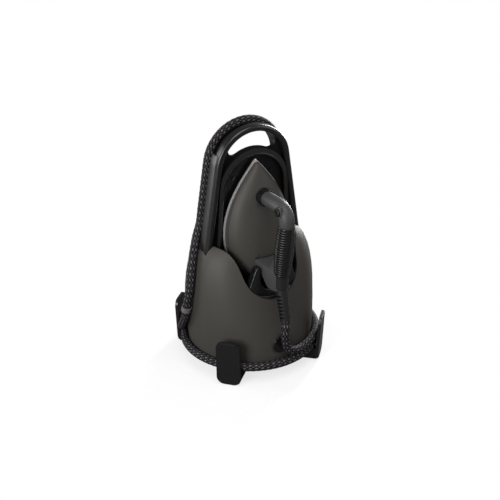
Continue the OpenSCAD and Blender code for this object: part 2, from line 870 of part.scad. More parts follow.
module mains_inlet() {
    inside = 12;
    outside = 3;
    flange_t = 6;
    color(rubber_color) place() translate([0, half_depth(inlet_z), inlet_z]) rotate([-90, 0, 0])
        difference() {
            union() {
                translate([0, 0, -inside]) cylinder(r = inlet_r, h = inside + outside);
                translate([0, 0, -inside]) cylinder(r = inlet_r + 3, h = flange_t);
            }
            translate([0, 0, -inside - 1]) cylinder(r = 3.6, h = inside + outside + 2);
        }
}

// ---------- power button ----------

bezel_r = 17.5;
button_r = 15.2;

module button_bezel() {
    proud = 2;
    inside = 10;
    back_t = 1.5;
    color("#8d8b88") place() translate([0, -half_depth(button_z), button_z]) rotate([90, 0, 0])
        difference() {
            translate([0, 0, -inside]) cylinder(r = bezel_r, h = inside + proud);
            translate([0, 0, back_t - inside]) cylinder(r = button_r + 0.2, h = inside + proud);
        }
}

module power_button() {
    face = half_depth(button_z);
    color(frame_color) place() translate([0, -face, button_z]) rotate([90, 0, 0]) rotate_extrude()
        polygon([[0, -5], [button_r, -5], [button_r, 2.4], [button_r - 1, 3.2], [0, 2.6]]);
}

// ---------- water tank ----------

tank_front = channel_rear + 1.4;
tank_low = 104;
lid_t = 3;
cap_r = 8;
cap_y = tank_front + 9.5;
outlet_r = 6;
seat_gap = 0.1;

// Solid of the tank, or of its hollow when grow is negative
module tank_form(grow) {
    intersection() {
        housing_form(-grow, tank_low - 2, shoulder_z - 0.2, 7);
        translate([-tank_w - grow, tank_front - grow, tank_low - grow])
            cube([2 * (tank_w + grow), 100, shoulder_z]);
    }
    translate([0, 0, shoulder_z - 0.2])
        linear_extrude(tank_top_z - shoulder_z + (grow < 0 ? 2 : 0.2)) tank_outline(grow);
}

module water_tank() {
    color("#5a5c60", 0.6) place() difference() {
        tank_form(0);
        tank_form(-tank_wall);
        translate([0, outlet_y, tank_low - 1]) cylinder(r = outlet_r, h = 10);
    }
}

module tank_lid() {
    color(frame_color) place() difference() {
        union() {
            translate([0, 0, tank_top_z]) linear_extrude(lid_t) tank_outline(0.6);
            translate([0, 0, tank_top_z - 6]) linear_extrude(6) difference() {
                tank_outline(-tank_wall - 0.1);
                tank_outline(-tank_wall - 2);
            }
        }
        translate([0, cap_y, tank_top_z - 10]) cylinder(r = cap_r - 1.4, h = 30);
    }
}

module tank_cap() {
    color(frame_color) place() translate([0, cap_y, 0]) {
        translate([0, 0, tank_top_z + lid_t + 0.2]) cylinder(r = cap_r, h = 3);
        translate([0, 0, tank_top_z - 4]) cylinder(r = cap_r - 1.5, h = lid_t + 4.2);
        translate([-6.5, -1.3, tank_top_z + lid_t + 3.2]) cube([13, 2.6, 3.5]);
    }
}

module tank_outlet() {
    color(white_color) place() translate([0, outlet_y, 0]) difference() {
        union() {
            translate([0, 0, tank_low - 9]) cylinder(r = outlet_r, h = 9 + tank_wall);
            translate([0, 0, tank_low + tank_wall]) cylinder(r = outlet_r + 3, h = 2);
        }
        translate([0, 0, tank_low - 10]) cylinder(r = 3, h = 30);
    }
}

module tank_seal() {
    color(rubber_color) place() translate([0, outlet_y, tank_low - 6]) difference() {
        cylinder(r = outlet_r + 1.7, h = 3);
        translate([0, 0, -1]) cylinder(r = outlet_r, h = 6);
    }
}

module tank_seat() {
    seat_t = 4;
    seat_top = tank_low - seat_gap;
    color(frame_color) place() difference() {
        union() {
            translate([0, 0, seat_top - seat_t]) linear_extrude(seat_t) intersection() {
                polygon(inside_outline(tank_low, skin + fit));
                translate([-tank_w, tank_front]) square([2 * tank_w, 100]);
            }
            translate([0, outlet_y, tank_low - 22]) cylinder(r = outlet_r + 4, h = 20);
            for (x = [-40, 40], y = [38, 70]) translate([x, y, foot_z])
                cylinder(r = 4, h = seat_top - seat_t - foot_z);
        }
        translate([0, outlet_y, tank_low - 14]) cylinder(r = outlet_r + 1.75, h = 30);
        translate([0, outlet_y, tank_low - 30]) cylinder(r = 3, h = 30);
    }
}

// ---------- iron ----------

heel_curve = [[sole_w, 240], [sole_w, 205], [sole_w - 14, heel_z + 2], [0, heel_z]];
tip_curve = [[sole_w, 240], [sole_w, 290], [30, tip_z - 34], [0, tip_z]];
sole_front = sole_back + sole_t;
body_inset = 1.2;
body_wall = 2.5;
crown_low = [[22, heel_z + 1.5], [38, heel_z + 7], [42, heel_z + 24], [39, 205]];
crown_high = [[39, 205], [35, 265], [18, tip_z - 26], [7, tip_z - 2]];
body_steps = 14;

function sole_outline() =
    let (
        heel = [for (i = [0 : 12]) curve(heel_curve, 1 - i / 12)],
        tip = [for (i = [1 : 14]) curve(tip_curve, i / 14)],
        half = concat(heel, tip)
    )
    concat(half, mirrored([for (i = [1 : len(half) - 2]) half[i]]));

module soleplate() {
    color(metal_color) place() upright(-sole_front, -sole_back) polygon(sole_outline());
}

// Depth of the iron's body in front of the sole at height z
function crown(z) = z < 205
    ? curve(crown_low, share_at(crown_low, 1, z))[0]
    : curve(crown_high, share_at(crown_high, 1, z))[0];

// Stations along the iron's body, as (half width, height)
stations = concat(
    [for (i = [1 : 9]) curve(heel_curve, 1 - (0.05 + 0.95 * i / 9))],
    [for (i = [1 : 11]) curve(tip_curve, 0.95 * i / 11)]);

function body_point(station, a, inset) =
    let (
        e = 2 / 2.3,
        w = station[0] - body_inset - inset,
        d = crown(station[1]) - inset
    )
    [-sign(cos(a)) * w * pow(abs(cos(a)), e), -sole_front - d * pow(abs(sin(a)), e), station[1]];

function body_sheet(inset) =
    [for (k = [0 : body_steps]) [for (s = stations) body_point(s, 180 * k / body_steps, inset)]];

module iron_body() {
    color(housing_color) place() difference() {
        shell(body_sheet(0), body_sheet(body_wall), false);
        along_root() translate([0, 0, -root_len - 8]) cylinder(r = elbow_r + root_ring_t, h = 40);
        block_form();
    }
}

module steam_chamber() {
    color(metal_color) place() upright(-sole_front - 12, -sole_front) intersection() {
        polygon([for (p = sole_outline()) [p[0] * 0.74, 250 + (p[1] - 250) * 0.78]]);
        translate([-60, 150]) square([120, 200]);
    }
}

bend_c = [-94, 288.8];
elbow_rise = 4;
grip_lean = 7.75;
bend_from = 90 - elbow_rise;
bend_to = 180 + grip_lean;
elbow_bore = 7;
root_len = 48;
root_ring_t = 2;
grip_from = 3.2;
grip_to = 95;
collar_y = -99.4;
collar_low = 166;
collar_high = 205;
button_spot = [-107, 306];
trigger_r = 7;

// Children stand on the elbow's straight root, looking out from the body
module along_root() {
    translate([0, bend_c[0] + bend_r * cos(bend_from), bend_c[1] + bend_r * sin(bend_from)])
        rotate([90 - elbow_rise, 0, 0]) children();
}

// Children stand at the top of the grip, looking down it
module along_grip() {
    translate([0, bend_c[0] + bend_r * cos(bend_to), bend_c[1] + bend_r * sin(bend_to)])
        rotate([grip_lean - 180, 0, 0]) children();
}

// Point of the plane (y, z) as a point in the middle of the station
function mid(p) = [0, p[0], p[1]];

root_dir = [sin(bend_from), -cos(bend_from)];
root_start = bend_c + bend_r * [cos(bend_from), sin(bend_from)] + root_len * root_dir;
grip_start = bend_c + bend_r * [cos(bend_to), sin(bend_to)];
grip_dir = [-sin(bend_to), cos(bend_to)];
bend_path = [for (p = arc(bend_c, bend_r, bend_from, bend_to, 10)) mid(p)];
elbow_path = concat(
    [mid(root_start), mid(root_start - 0.5 * root_len * root_dir)],
    bend_path,
    [mid(grip_start + 2 * grip_dir)]
);
elbow_sides = 24;

function pipe_sheet(r) = columns_of(rings_round(elbow_path, r, elbow_sides));

module elbow() {
    floor_x = -8.6;
    boss_x = -elbow_bore - 1;
    color(charcoal_color) place() difference() {
        union() {
            shell(pipe_sheet(elbow_r), pipe_sheet(elbow_bore), true);
            translate([boss_x, button_spot[0], button_spot[1]]) rotate([0, -90, 0])
                cylinder(r = trigger_r + 2, h = elbow_r + 1 + boss_x);
        }
        translate([floor_x, button_spot[0], button_spot[1]]) rotate([0, -90, 0])
            cylinder(r = trigger_r + 0.1, h = 20);
    }
}

module steam_button() {
    color(frame_color) place() translate([-11.2, button_spot[0], button_spot[1]]) rotate([0, -90, 0])
        rotate_extrude() polygon([[0, 0], [trigger_r, 0], [trigger_r, 3.6], [trigger_r - 1, 4.4], [0, 4]]);
}

module elbow_ring() {
    color(frame_color) place() along_root() translate([0, 0, -root_len]) difference() {
        cylinder(r = elbow_r + root_ring_t, h = 11);
        translate([0, 0, -1]) cylinder(r = elbow_r, h = 20);
    }
}

// Ribbed outline of the grip, as (radius, distance down it)
function grip_outline() =
    let (run = grip_to - grip_from, pitch = run / grip_ribs, depth = 1.1)
    concat([[elbow_bore + 1, grip_from]],
        [for (i = [0 : grip_ribs - 1])
            let (s = grip_from + i * pitch, r = grip_r + grip_swell * sin(180 * (i + 0.5) / grip_ribs))
            each [
                [r - depth, s], [r, s + 0.25 * pitch], [r, s + 0.7 * pitch], [r - depth, s + 0.9 * pitch]
            ]],
        [[grip_r - depth, grip_to], [elbow_bore + 1, grip_to]]);

module grip() {
    color(rubber_color) place() along_grip() rotate_extrude() polygon(grip_outline());
}

module grip_ring() {
    color("#6f6f72") place() along_grip() translate([0, 0, 2]) difference() {
        cylinder(r = elbow_r + 0.8, h = grip_from - 2);
        translate([0, 0, -1]) cylinder(r = elbow_bore, h = 5);
    }
}

module collar_form() {
    translate([0, collar_y, 0]) rotate_extrude() polygon([
        [0, collar_low], [9.5, collar_low], [11.6, collar_low + 2], [12.8, collar_low + 7],
        [13.4, collar_high], [0, collar_high]
    ]);
}

module collar() {
    color(charcoal_color) place() difference() {
        collar_form();
        along_grip() translate([0, 0, grip_to - 40]) cylinder(r = 40, h = 40);
        translate([0, collar_y, collar_low - 1]) cylinder(r = 5, h = 60);
    }
}

relief_lean = 14.7;
relief_len = 56.6;

module relief_axis() {
    translate([0, collar_y, collar_low]) rotate([180 - relief_lean, 0, 0]) children();
}

module strain_relief() {
    slots = 7;
    color(charcoal_color) place() difference() {
        relief_axis() difference() {
            translate([0, 0, -8]) cylinder(r1 = 9.4, r2 = 8.4, h = relief_len + 8);
            for (i = [0 : slots - 1], side = [0, 180]) rotate([0, 0, side + (i % 2) * 90])
                translate([5, -12, 20 + i * 4.4]) cube([8, 24, 1.8]);
            translate([0, 0, -20]) cylinder(r = 4, h = relief_len + 12);
        }
        translate([-20, collar_y - 20, collar_low]) cube([40, 40, 30]);
    }
}

block_w = 23;

// Wedge between the body and the collar
module block_form() {
    side_view = [
        [-48, 203], [-58, 206], [-90, 204], [-100, 194], [-100, 172],
        [-92, 169], [-84, 169], [-76, 172], [-68, 175], [-48, 176]
    ];
    plan = [[-block_w, -45], [-block_w, -60], [-11, -94], [11, -94], [block_w, -60], [block_w, -45]];
    intersection() {
        sideways(-block_w - 1, block_w + 1) polygon(side_view);
        translate([0, 0, collar_low]) linear_extrude(2 * (collar_high - collar_low)) polygon(plan);
    }
}

module rear_block() {
    color(charcoal_color) place() difference() {
        block_form();
        collar_form();
        along_grip() translate([0, 0, grip_from])
            cylinder(r = grip_r + grip_swell + 1.4, h = grip_to - grip_from);
    }
}

module iron_thermostat() {
    color(white_color) place() translate([0, -sole_front - 12, 236]) rotate([90, 0, 0]) {
        cylinder(r = 9, h = 6);
        translate([0, 0, 6]) cylinder(r = 3, h = 3);
    }
}

inlet_tube_r = 3;

inlet_path = concat([elbow_path[0], elbow_path[1]], bend_path,
    [mid(grip_start + 50 * grip_dir), mid(grip_start + (grip_to + 10) * grip_dir)]);

module inlet_tube() {
    color(white_color) place() tube(inlet_path, inlet_tube_r, 8);
}

// ---------- steam hose ----------

hose_r = hose_d / 2;
lower_z = floor_bottom + hose_r + 0.2;
upper_z = lower_z + hose_d + 1.2;
upper_swell = 2.3;
swap_half = 37;
wrap_from = -72;
wrap_to = 508;
turn_step = 7.25;

function smooth(t) = let (c = min(max(t, 0), 1)) c * c * (3 - 2 * c);

// Share of a half turn that the two turns have made round each other at the back, degrees
function swap(a) = 180 * smooth((a - 90 + swap_half) / (2 * swap_half));

// Height of the hose round the foot: upper turn, lower turn, upper again, changing over at the back
function wrap_height(a) = mix(upper_z, lower_z, (cos(swap(a - 360)) - cos(swap(a))) / 2);

// The upper turn stands a little wider, and the rising turn swings out to pass the falling one
function wrap_radius(a) =
    let (swell = upper_swell * (wrap_height(a) - lower_z) / (upper_z - lower_z))
    turn_r + swell + (hose_d + 3.6) * sin(swap(a - 360));

wrap = [for (a = [wrap_from : turn_step : wrap_to])
    let (r = wrap_radius(a))
    [r * cos(a), r * sin(a), wrap_height(a)]];

relief_tip = [0, collar_y - relief_len * sin(relief_lean), collar_low - relief_len * cos(relief_lean)];
relief_dir = [0, -sin(relief_lean), -cos(relief_lean)];

// The hose stays with the station, so a hair of air parts it from the boot of the iron
boot_gap = 0.1;

// From the iron down to the first turn
drop = [
    relief_tip + boot_gap * relief_dir, relief_tip + 6 * relief_dir, [-2, -118, 99], [-3, -118.5, 91],
    [-2.5, -117.5, 82], [-0.5, -116, 72], [3, -114, 62], [9, -113, 54], [18, -112, 49]
];

// From the last turn up the left side, over the bow and down to the gland
climb = [
    [-107, 42, 56], [-113.5, 25, 73], [-116.5, 11, 92], [-118, 3, 112], [-117.5, -2, 131], [-115.5, -5, 150],
    [-113, -5, 169], [-109.5, -2.5, 188], [-104, 3, 205], [-96, 11, 219], [-89, 17, 232]
];
groove = concat(
    [for (z = [252, 275, 300, 322, 342])
        let (p = gland_point((z - gland_z) / cos(bow_lean)))
        [-p[0], p[1], p[2]]],
    [for (a = [180 - bow_lean : -11 : bow_lean])
        [hose_path_r * cos(a), hose_path_y, bow_z + hose_path_r * sin(a)]],
    [for (z = [342, 310, 275, 245, 228]) gland_point((z - gland_z) / cos(bow_lean))],
    [gland_point(0)]
);
hose_path = concat(drop, wrap, climb, groove);

// Distance from point p to the straight stretch from a to b
function reach(p, a, b) = let (u = b - a, t = min(max((p - a) * u / (u * u), 0), 1)) norm(p - a - t * u);

hose_last = len(hose_path) - 1;
near_by = 6;
hose_gap = min([for (i = [0 : hose_last - near_by], j = [i + near_by : hose_last - 1])
    reach(hose_path[i], hose_path[j], hose_path[j + 1])]) - hose_d;
hose_steps = [for (i = [1 : hose_last]) norm(hose_path[i] - hose_path[i - 1])];
hose_length = hose_steps * [for (step = hose_steps) 1];
echo(hose_points = len(hose_path), hose_length = hose_length, least_gap_of_the_hose_to_itself = hose_gap);
clip_spot = [-117.9, 3.3, 111.5];
clip_lean = 18.4;

module steam_hose() {
    color(rubber_color) place() tube(hose_path, hose_r, 8);
}

module hose_clip() {
    color("#b9b7b2") place() translate(clip_spot) rotate([clip_lean, 0, 0]) difference() {
        cylinder(r = hose_r + 1.3, h = 10, center = true);
        cylinder(r = hose_r + 0.1, h = 12, center = true);
    }
}

chassis_pan();
hook_front_left();
hook_front_right();
hook_rear_left();
hook_rear_right();
rubber_feet();
base_screws();
skirt_housing();
top_frame();
handle_bow();
hose_channel();
side_rail_left();
side_rail_right();
dock_panel();
column_back();
saddle_insert();
rest_pads();
dock_screws();
boiler();
boiler_jacket();
boiler_stand();
heating_element();
safety_valve();
steam_valve();
thermostat();
pump();
pump_mounts();
control_board();
feed_tube();
steam_pipe();
tank_seat();
mains_inlet();
hose_gland();
steam_hose();
hose_clip();
button_bezel();
power_button();
water_tank();
tank_lid();
tank_outlet();
tank_seal();
tank_cap();
soleplate();
steam_chamber();
iron_body();
elbow_ring();
elbow();
steam_button();
grip();
grip_ring();
rear_block();
collar();
strain_relief();
iron_thermostat();
inlet_tube();
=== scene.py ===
# %% [markdown]
# # An ironing station with its iron docked upright
#
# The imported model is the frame: every piece of it is already where it belongs, at its real size.
# This lesson gives the pieces their finish. Most mouldings are dressed, which means that a clean
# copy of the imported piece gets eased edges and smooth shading. The hose, the grip, the wedge, the
# collar and the boot are modelled anew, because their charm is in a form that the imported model
# keeps plain.

# %% Load the frame
import math

import bmesh
import bpy
import numpy as np
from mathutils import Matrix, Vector
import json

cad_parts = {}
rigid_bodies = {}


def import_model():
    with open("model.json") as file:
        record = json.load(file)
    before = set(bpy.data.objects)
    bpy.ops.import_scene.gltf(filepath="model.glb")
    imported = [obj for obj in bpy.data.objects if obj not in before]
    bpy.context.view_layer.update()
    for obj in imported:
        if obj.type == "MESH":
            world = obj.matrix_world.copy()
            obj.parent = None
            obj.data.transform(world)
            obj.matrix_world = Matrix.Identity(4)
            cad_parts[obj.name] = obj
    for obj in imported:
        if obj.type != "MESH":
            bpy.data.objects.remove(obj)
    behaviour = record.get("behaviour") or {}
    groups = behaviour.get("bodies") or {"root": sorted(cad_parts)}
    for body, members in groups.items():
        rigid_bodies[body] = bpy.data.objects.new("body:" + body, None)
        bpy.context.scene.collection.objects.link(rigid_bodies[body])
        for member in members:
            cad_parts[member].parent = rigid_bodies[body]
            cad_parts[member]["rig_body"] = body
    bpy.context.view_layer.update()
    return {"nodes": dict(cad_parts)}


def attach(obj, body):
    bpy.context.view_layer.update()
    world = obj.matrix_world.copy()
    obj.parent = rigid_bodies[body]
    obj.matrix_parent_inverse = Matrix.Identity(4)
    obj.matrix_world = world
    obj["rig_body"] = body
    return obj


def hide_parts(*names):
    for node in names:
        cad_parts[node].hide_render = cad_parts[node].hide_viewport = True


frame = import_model()
MM = 0.001
AXIS_Y = 10 * MM

# %% [markdown]
# ## The camera
#
# A long lens from well back keeps the uprights parallel, as a catalogue picture does. The camera
# is placed by its compass angle and height round a target, so that it can be turned without any
# sums.

# %% Place the camera
CAMERA_AZIMUTH = math.radians(-31)
CAMERA_HEIGHT = math.radians(28)
CAMERA_RANGE = 2.2917
CAMERA_TARGET = Vector((0.0015, 0.010, 0.1883))
CAMERA_LENS, CAMERA_SENSOR = 100, 36


def add_camera():
    data = bpy.data.cameras.new("studio_camera")
    data.lens = CAMERA_LENS
    data.sensor_width = CAMERA_SENSOR
    camera = bpy.data.objects.new("studio_camera", data)
    bpy.context.scene.collection.objects.link(camera)
    back = Vector((
        math.sin(CAMERA_AZIMUTH) * math.cos(CAMERA_HEIGHT),
        -math.cos(CAMERA_AZIMUTH) * math.cos(CAMERA_HEIGHT),
        math.sin(CAMERA_HEIGHT),
    ))
    camera.location = CAMERA_TARGET + CAMERA_RANGE * back
    camera.rotation_euler = (-back).to_track_quat("-Z", "Y").to_euler()
    bpy.context.scene.camera = camera


add_camera()

# %% [markdown]
# ## Helpers for meshes
#
# The new pieces are worked out in millimetres from the station's axis, and turned into metres in
# one place. The bead, the wedge and the turned pieces are closed skins over a row of rings, which
# one helper makes.

# %% Mesh helpers
def from_axis(point):
    return point * MM + Vector((0, AXIS_Y, 0))


def skin(rings):
    work = bmesh.new()
    rings = [[work.verts.new(point) for point in ring] for ring in rings]
    sides = len(rings[0])
    for one, other in zip(rings, rings[1:]):
        for k in range(sides):
            after = (k + 1) % sides
            work.faces.new((one[k], one[after], other[after], other[k]))
    work.faces.new(rings[0][::-1])
    work.faces.new(rings[-1])
    bmesh.ops.recalc_face_normals(work, faces=work.faces)
    return work, rings


def finished_mesh(work, name, sharp_from=None):
    mesh = bpy.data.meshes.new(name)
    work.to_mesh(mesh)
    work.free()
    mesh.shade_smooth()
    if sharp_from is not None:
        mesh.set_sharp_from_angle(angle=math.radians(sharp_from))
    return mesh


def add_object(name, mesh, material):
    thing = bpy.data.objects.new(name, mesh)
    bpy.context.scene.collection.objects.link(thing)
    thing.data.materials.append(material)
    return thing


# %% [markdown]
# ## Helpers for shader nodes
#
# A finish is a small graph of nodes. These helpers keep each material to a few readable lines:
# they add a node with its inputs, do a sum, mix two colours, raise a relief, or start a material
# and hand back its shader.

# %% Node helpers
def feed(tree, socket, value):
    if hasattr(value, "is_output"):
        tree.links.new(value, socket)
    else:
        socket.default_value = value


def add_node(tree, kind, **inputs):
    node = tree.nodes.new(kind)
    for name, value in inputs.items():
        feed(tree, node.inputs[name.replace("_", " ")], value)
    return node


def maths(tree, operation, a, b=0.0):
    node = tree.nodes.new("ShaderNodeMath")
    node.operation = operation
    feed(tree, node.inputs[0], a)
    feed(tree, node.inputs[1], b)
    return node.outputs[0]


def coordinates(tree, kind="Object"):
    return tree.nodes.new("ShaderNodeTexCoord").outputs[kind]


def mixed_colour(tree, factor, first, second):
    node = add_node(tree, "ShaderNodeMix", Factor=factor)
    node.data_type = "RGBA"
    node.inputs["A"].default_value = (*first, 1)
    node.inputs["B"].default_value = (*second, 1)
    return node.outputs["Result"]


def raise_relief(tree, shader, height, strength, distance):
    relief = add_node(tree, "ShaderNodeBump", Strength=strength, Distance=distance, Height=height)
    tree.links.new(relief.outputs[0], shader.inputs["Normal"])


def start_group(name, inputs, outputs):
    group = bpy.data.node_groups.new(name, "ShaderNodeTree")
    for socket_name, kind, value in inputs:
        socket = group.interface.new_socket(socket_name, in_out="INPUT", socket_type=kind)
        socket.default_value = value
    for socket_name, kind in outputs:
        group.interface.new_socket(socket_name, in_out="OUTPUT", socket_type=kind)
    return group, group.nodes.new("NodeGroupInput"), group.nodes.new("NodeGroupOutput")


def start_material(name, **shader_inputs):
    material = bpy.data.materials.new(name)
    material.use_nodes = True
    tree = material.node_tree
    shader = tree.nodes["Principled BSDF"]
    for socket_name, value in shader_inputs.items():
        shader.inputs[socket_name.replace("_", " ")].default_value = value
    return material, tree, shader


# %% [markdown]
# ## Moulded grain
#
# A mould is spark eroded, so a plastic cover is never quite smooth: it has a fine, even grain,
# and its sheen drifts a little over a hand's breadth. One group gives both, and each plastic asks
# for its own grain size and depth. The grain is in object space, where a millimetre is a
# millimetre on every piece.

# %% The grain group
GRAIN_SIZE = 1400.0
GRAIN_DEEP = 0.2 * MM
BROAD_SIZE = 22.0
COLOUR_DRIFT = 0.08


def build_grain_group():
    group, entry, exit_ = start_group(
        "moulded_grain",
        [("Grain Size", "NodeSocketFloat", GRAIN_SIZE), ("Drift", "NodeSocketFloat", 0.06),
         ("Base Roughness", "NodeSocketFloat", 0.4),
         ("Colour", "NodeSocketColor", (0.02, 0.02, 0.02, 1)),
         ("Colour Drift", "NodeSocketFloat", 0.1)],
        [("Colour", "NodeSocketColor"), ("Roughness", "NodeSocketFloat"),
         ("Height", "NodeSocketFloat")])
    asked = entry.outputs
    place = coordinates(group)
    fine = add_node(group, "ShaderNodeTexNoise", Vector=place, Scale=asked["Grain Size"],
                    Detail=2.0)
    broad = add_node(group, "ShaderNodeTexNoise", Vector=place, Scale=BROAD_SIZE, Detail=3.0,
                     Roughness=0.6)
    broad_shift = maths(group, "SUBTRACT", broad.outputs[0], 0.5)
    fine_shift = maths(group, "SUBTRACT", fine.outputs[0], 0.5)
    rough = maths(group, "ADD", asked["Base Roughness"],
                  maths(group, "MULTIPLY", broad_shift, asked["Drift"]))
    speckle = maths(group, "MULTIPLY", fine_shift, asked["Drift"])
    tone = maths(group, "ADD", 1.0, maths(group, "MULTIPLY", broad_shift, asked["Colour Drift"]))
    tinted = group.nodes.new("ShaderNodeVectorMath")
    tinted.operation = "SCALE"
    group.links.new(asked["Colour"], tinted.inputs[0])
    group.links.new(tone, tinted.inputs["Scale"])
    group.links.new(tinted.outputs[0], exit_.inputs["Colour"])
    group.links.new(maths(group, "ADD", rough, speckle), exit_.inputs["Roughness"])
    group.links.new(fine.outputs[0], exit_.inputs["Height"])
    return group


GRAIN = build_grain_group()


def moulded(name, colour, roughness, grain=GRAIN_SIZE, bump=0.05, drift=0.08, **shader_inputs):
    material, tree, shader = start_material(name, **shader_inputs)
    grain_node = tree.nodes.new("ShaderNodeGroup")
    grain_node.node_tree = GRAIN
    asked = {"Grain Size": grain, "Drift": drift, "Base Roughness": roughness,
             "Colour": (*colour, 1), "Colour Drift": COLOUR_DRIFT}
    for socket_name, value in asked.items():
        grain_node.inputs[socket_name].default_value = value
    tree.links.new(grain_node.outputs["Colour"], shader.inputs["Base Color"])
    tree.links.new(grain_node.outputs["Roughness"], shader.inputs["Roughness"])
    raise_relief(tree, shader, grain_node.outputs["Height"], bump, GRAIN_DEEP)
    return material


# %% [markdown]
# Each finish is a colour, a roughness, and what sets it apart. Black plastics differ less in
# colour than in how much they reflect, so most of them name their own specular level.

# %% The moulded finishes
housing_paint = moulded("housing_paint", (0.047, 0.043, 0.038), 0.56, grain=2200, bump=0.04,
                        Metallic=0.1, Specular_IOR_Level=0.35)
bezel_paint = moulded("bezel_paint", (0.05, 0.048, 0.046), 0.3, Metallic=0.4)
black_moulding = moulded("black_moulding", (0.0045, 0.0045, 0.0048), 0.36,
                         Specular_IOR_Level=0.35)
satin_black = moulded("satin_black", (0.0055, 0.0055, 0.0055), 0.3, bump=0.03,
                      Specular_IOR_Level=0.6)
# painted shade: a darker, duller copy of the black moulding, which stands in for the shade that
# falls on the back of the column, deep behind the opening
painted_shade_black = moulded("painted_shade_black", (0.0022, 0.0021, 0.002), 0.5, Specular_IOR_Level=0.12)
gloss_trim = moulded("gloss_trim", (0.010, 0.010, 0.0105), 0.34, bump=0.01, drift=0.03,
                     Specular_IOR_Level=0.6)
charcoal_moulding = moulded("charcoal_moulding", (0.046, 0.046, 0.0465), 0.5,
                            Specular_IOR_Level=0.35)
boot_plastic = moulded("boot_plastic", (0.012, 0.012, 0.012), 0.4, Specular_IOR_Level=0.35)
soft_rubber = moulded("soft_rubber", (0.010, 0.010, 0.010), 0.62, grain=900, bump=0.12)
grip_rubber = moulded("grip_rubber", (0.0045, 0.0045, 0.0045), 0.34, grain=1100, bump=0.08,
                      Specular_IOR_Level=0.32)
clip_plastic = moulded("clip_plastic", (0.12, 0.117, 0.114), 0.38)
white_plastic = moulded("white_plastic", (0.62, 0.61, 0.57), 0.45)
circuit_board = moulded("circuit_board", (0.02, 0.13, 0.05), 0.4, grain=600, bump=0.2)
felt_jacket = moulded("felt_jacket", (0.55, 0.54, 0.5), 0.9, grain=500, bump=0.5)
print("moulded finishes ready")

# %% [markdown]
# The dock panel is one moulding. Its front is satin black, and the recess behind the iron is
# painted a far darker black: painted shade, for the shade that falls deep behind the iron. The
# depth of a spot decides how much of that painted shade it gets.

# %% The panel's black, with painted shade in the recess
RECESS_SHADE_BEGINS, RECESS_SHADE_FULL = -5.6 * MM, -4.6 * MM


def build_panel_painted_shade():
    material, tree, shader = start_material("panel_painted_shade", Roughness=0.48, Specular_IOR_Level=0.25)
    place = coordinates(tree)
    depth = add_node(tree, "ShaderNodeSeparateXYZ", Vector=place).outputs[1]
    painted_shade_share = add_node(tree, "ShaderNodeMapRange", Value=depth, From_Min=RECESS_SHADE_BEGINS,
                      From_Max=RECESS_SHADE_FULL)
    # painted shade: spots deeper than the panel's front get a far darker black, for the shade in
    # the recess
    tone = mixed_colour(tree, painted_shade_share.outputs[0], (0.014, 0.014, 0.014), (0.0018, 0.0017, 0.0016))
    tree.links.new(tone, shader.inputs["Base Color"])
    fine = add_node(tree, "ShaderNodeTexNoise", Vector=place, Scale=GRAIN_SIZE, Detail=2.0)
    raise_relief(tree, shader, fine.outputs[0], 0.05, GRAIN_DEEP)
    return material


panel_painted_shade = build_panel_painted_shade()

# %% [markdown]
# ## Metals
#
# The soleplate and the small metal parts are finely brushed. Brushing is noise that is stretched
# along one axis. It changes the roughness and lifts the surface a hair.

# %% Brushed metals
LEVEL_LINES = (40.0, 40.0, 2200.0)
UPRIGHT_LINES = (1500.0, 1500.0, 60.0)
SHEEN_BELOW, SHEEN_ABOVE = 0.08, 0.12


def brushed(name, colour, roughness, stretch=LEVEL_LINES):
    material, tree, shader = start_material(name, Base_Color=(*colour, 1), Metallic=1.0)
    mapping = add_node(tree, "ShaderNodeMapping", Vector=coordinates(tree), Scale=stretch)
    lines = add_node(tree, "ShaderNodeTexNoise", Vector=mapping.outputs[0], Scale=1.0, Detail=3.0)
    sheen = add_node(tree, "ShaderNodeMapRange", Value=lines.outputs[0],
                     To_Min=roughness - SHEEN_BELOW, To_Max=roughness + SHEEN_ABOVE)
    tree.links.new(sheen.outputs[0], shader.inputs["Roughness"])
    raise_relief(tree, shader, lines.outputs[0], 0.08, 0.1 * MM)
    return material


brushed_steel = brushed("brushed_steel", (0.55, 0.56, 0.58), 0.32)
blackened_steel = brushed("blackened_steel", (0.035, 0.034, 0.033), 0.4)
polished_aluminium = brushed("polished_aluminium", (0.88, 0.88, 0.89), 0.52)
turned_brass = brushed("turned_brass", (0.72, 0.5, 0.2), 0.28, UPRIGHT_LINES)

# %% [markdown]
# ## Smoky tank
#
# The water tank is moulded in a clear plastic with a smoke tint. The wall is real geometry with
# two faces, so a plain transmission is enough, and the tint sits in the base colour.

# %% The tank's plastic
RIPPLE_SIZE = 60.0


def build_smoky_plastic():
    material, tree, shader = start_material("smoky_plastic", Base_Color=(0.22, 0.22, 0.23, 1),
                                            Transmission_Weight=0.9, IOR=1.49)
    ripple = add_node(tree, "ShaderNodeTexNoise", Vector=coordinates(tree), Scale=RIPPLE_SIZE,
                      Detail=2.0)
    haze = add_node(tree, "ShaderNodeMapRange", Value=ripple.outputs[0], To_Min=0.08, To_Max=0.2)
    tree.links.new(haze.outputs[0], shader.inputs["Roughness"])
    raise_relief(tree, shader, ripple.outputs[0], 0.05, 0.4 * MM)
    return material


smoky_plastic = build_smoky_plastic()

# %% [markdown]
# ## The braided sleeve
#
# The hose wears a braid: two families of yarn wind round it in opposite directions and pass over
# and under each other. Seen flat, the two families are two diagonal coordinates, and the sleeve
# is a board of diamonds on which one family or the other is on top. The same sum is used twice:
# here, as nodes, for the pale flecks in the yarn, and below, on points, for the relief.

# %% The braid's yarn
CARRIERS = 8
DIAMOND = 9.4 * MM
FIRST_WIDE, FIRST_LONG = 0.24, 0.42
SECOND_WIDE, SECOND_LONG, SECOND_PALE = 0.16, 0.4, 0.45
FLECK_GAIN = 1.9


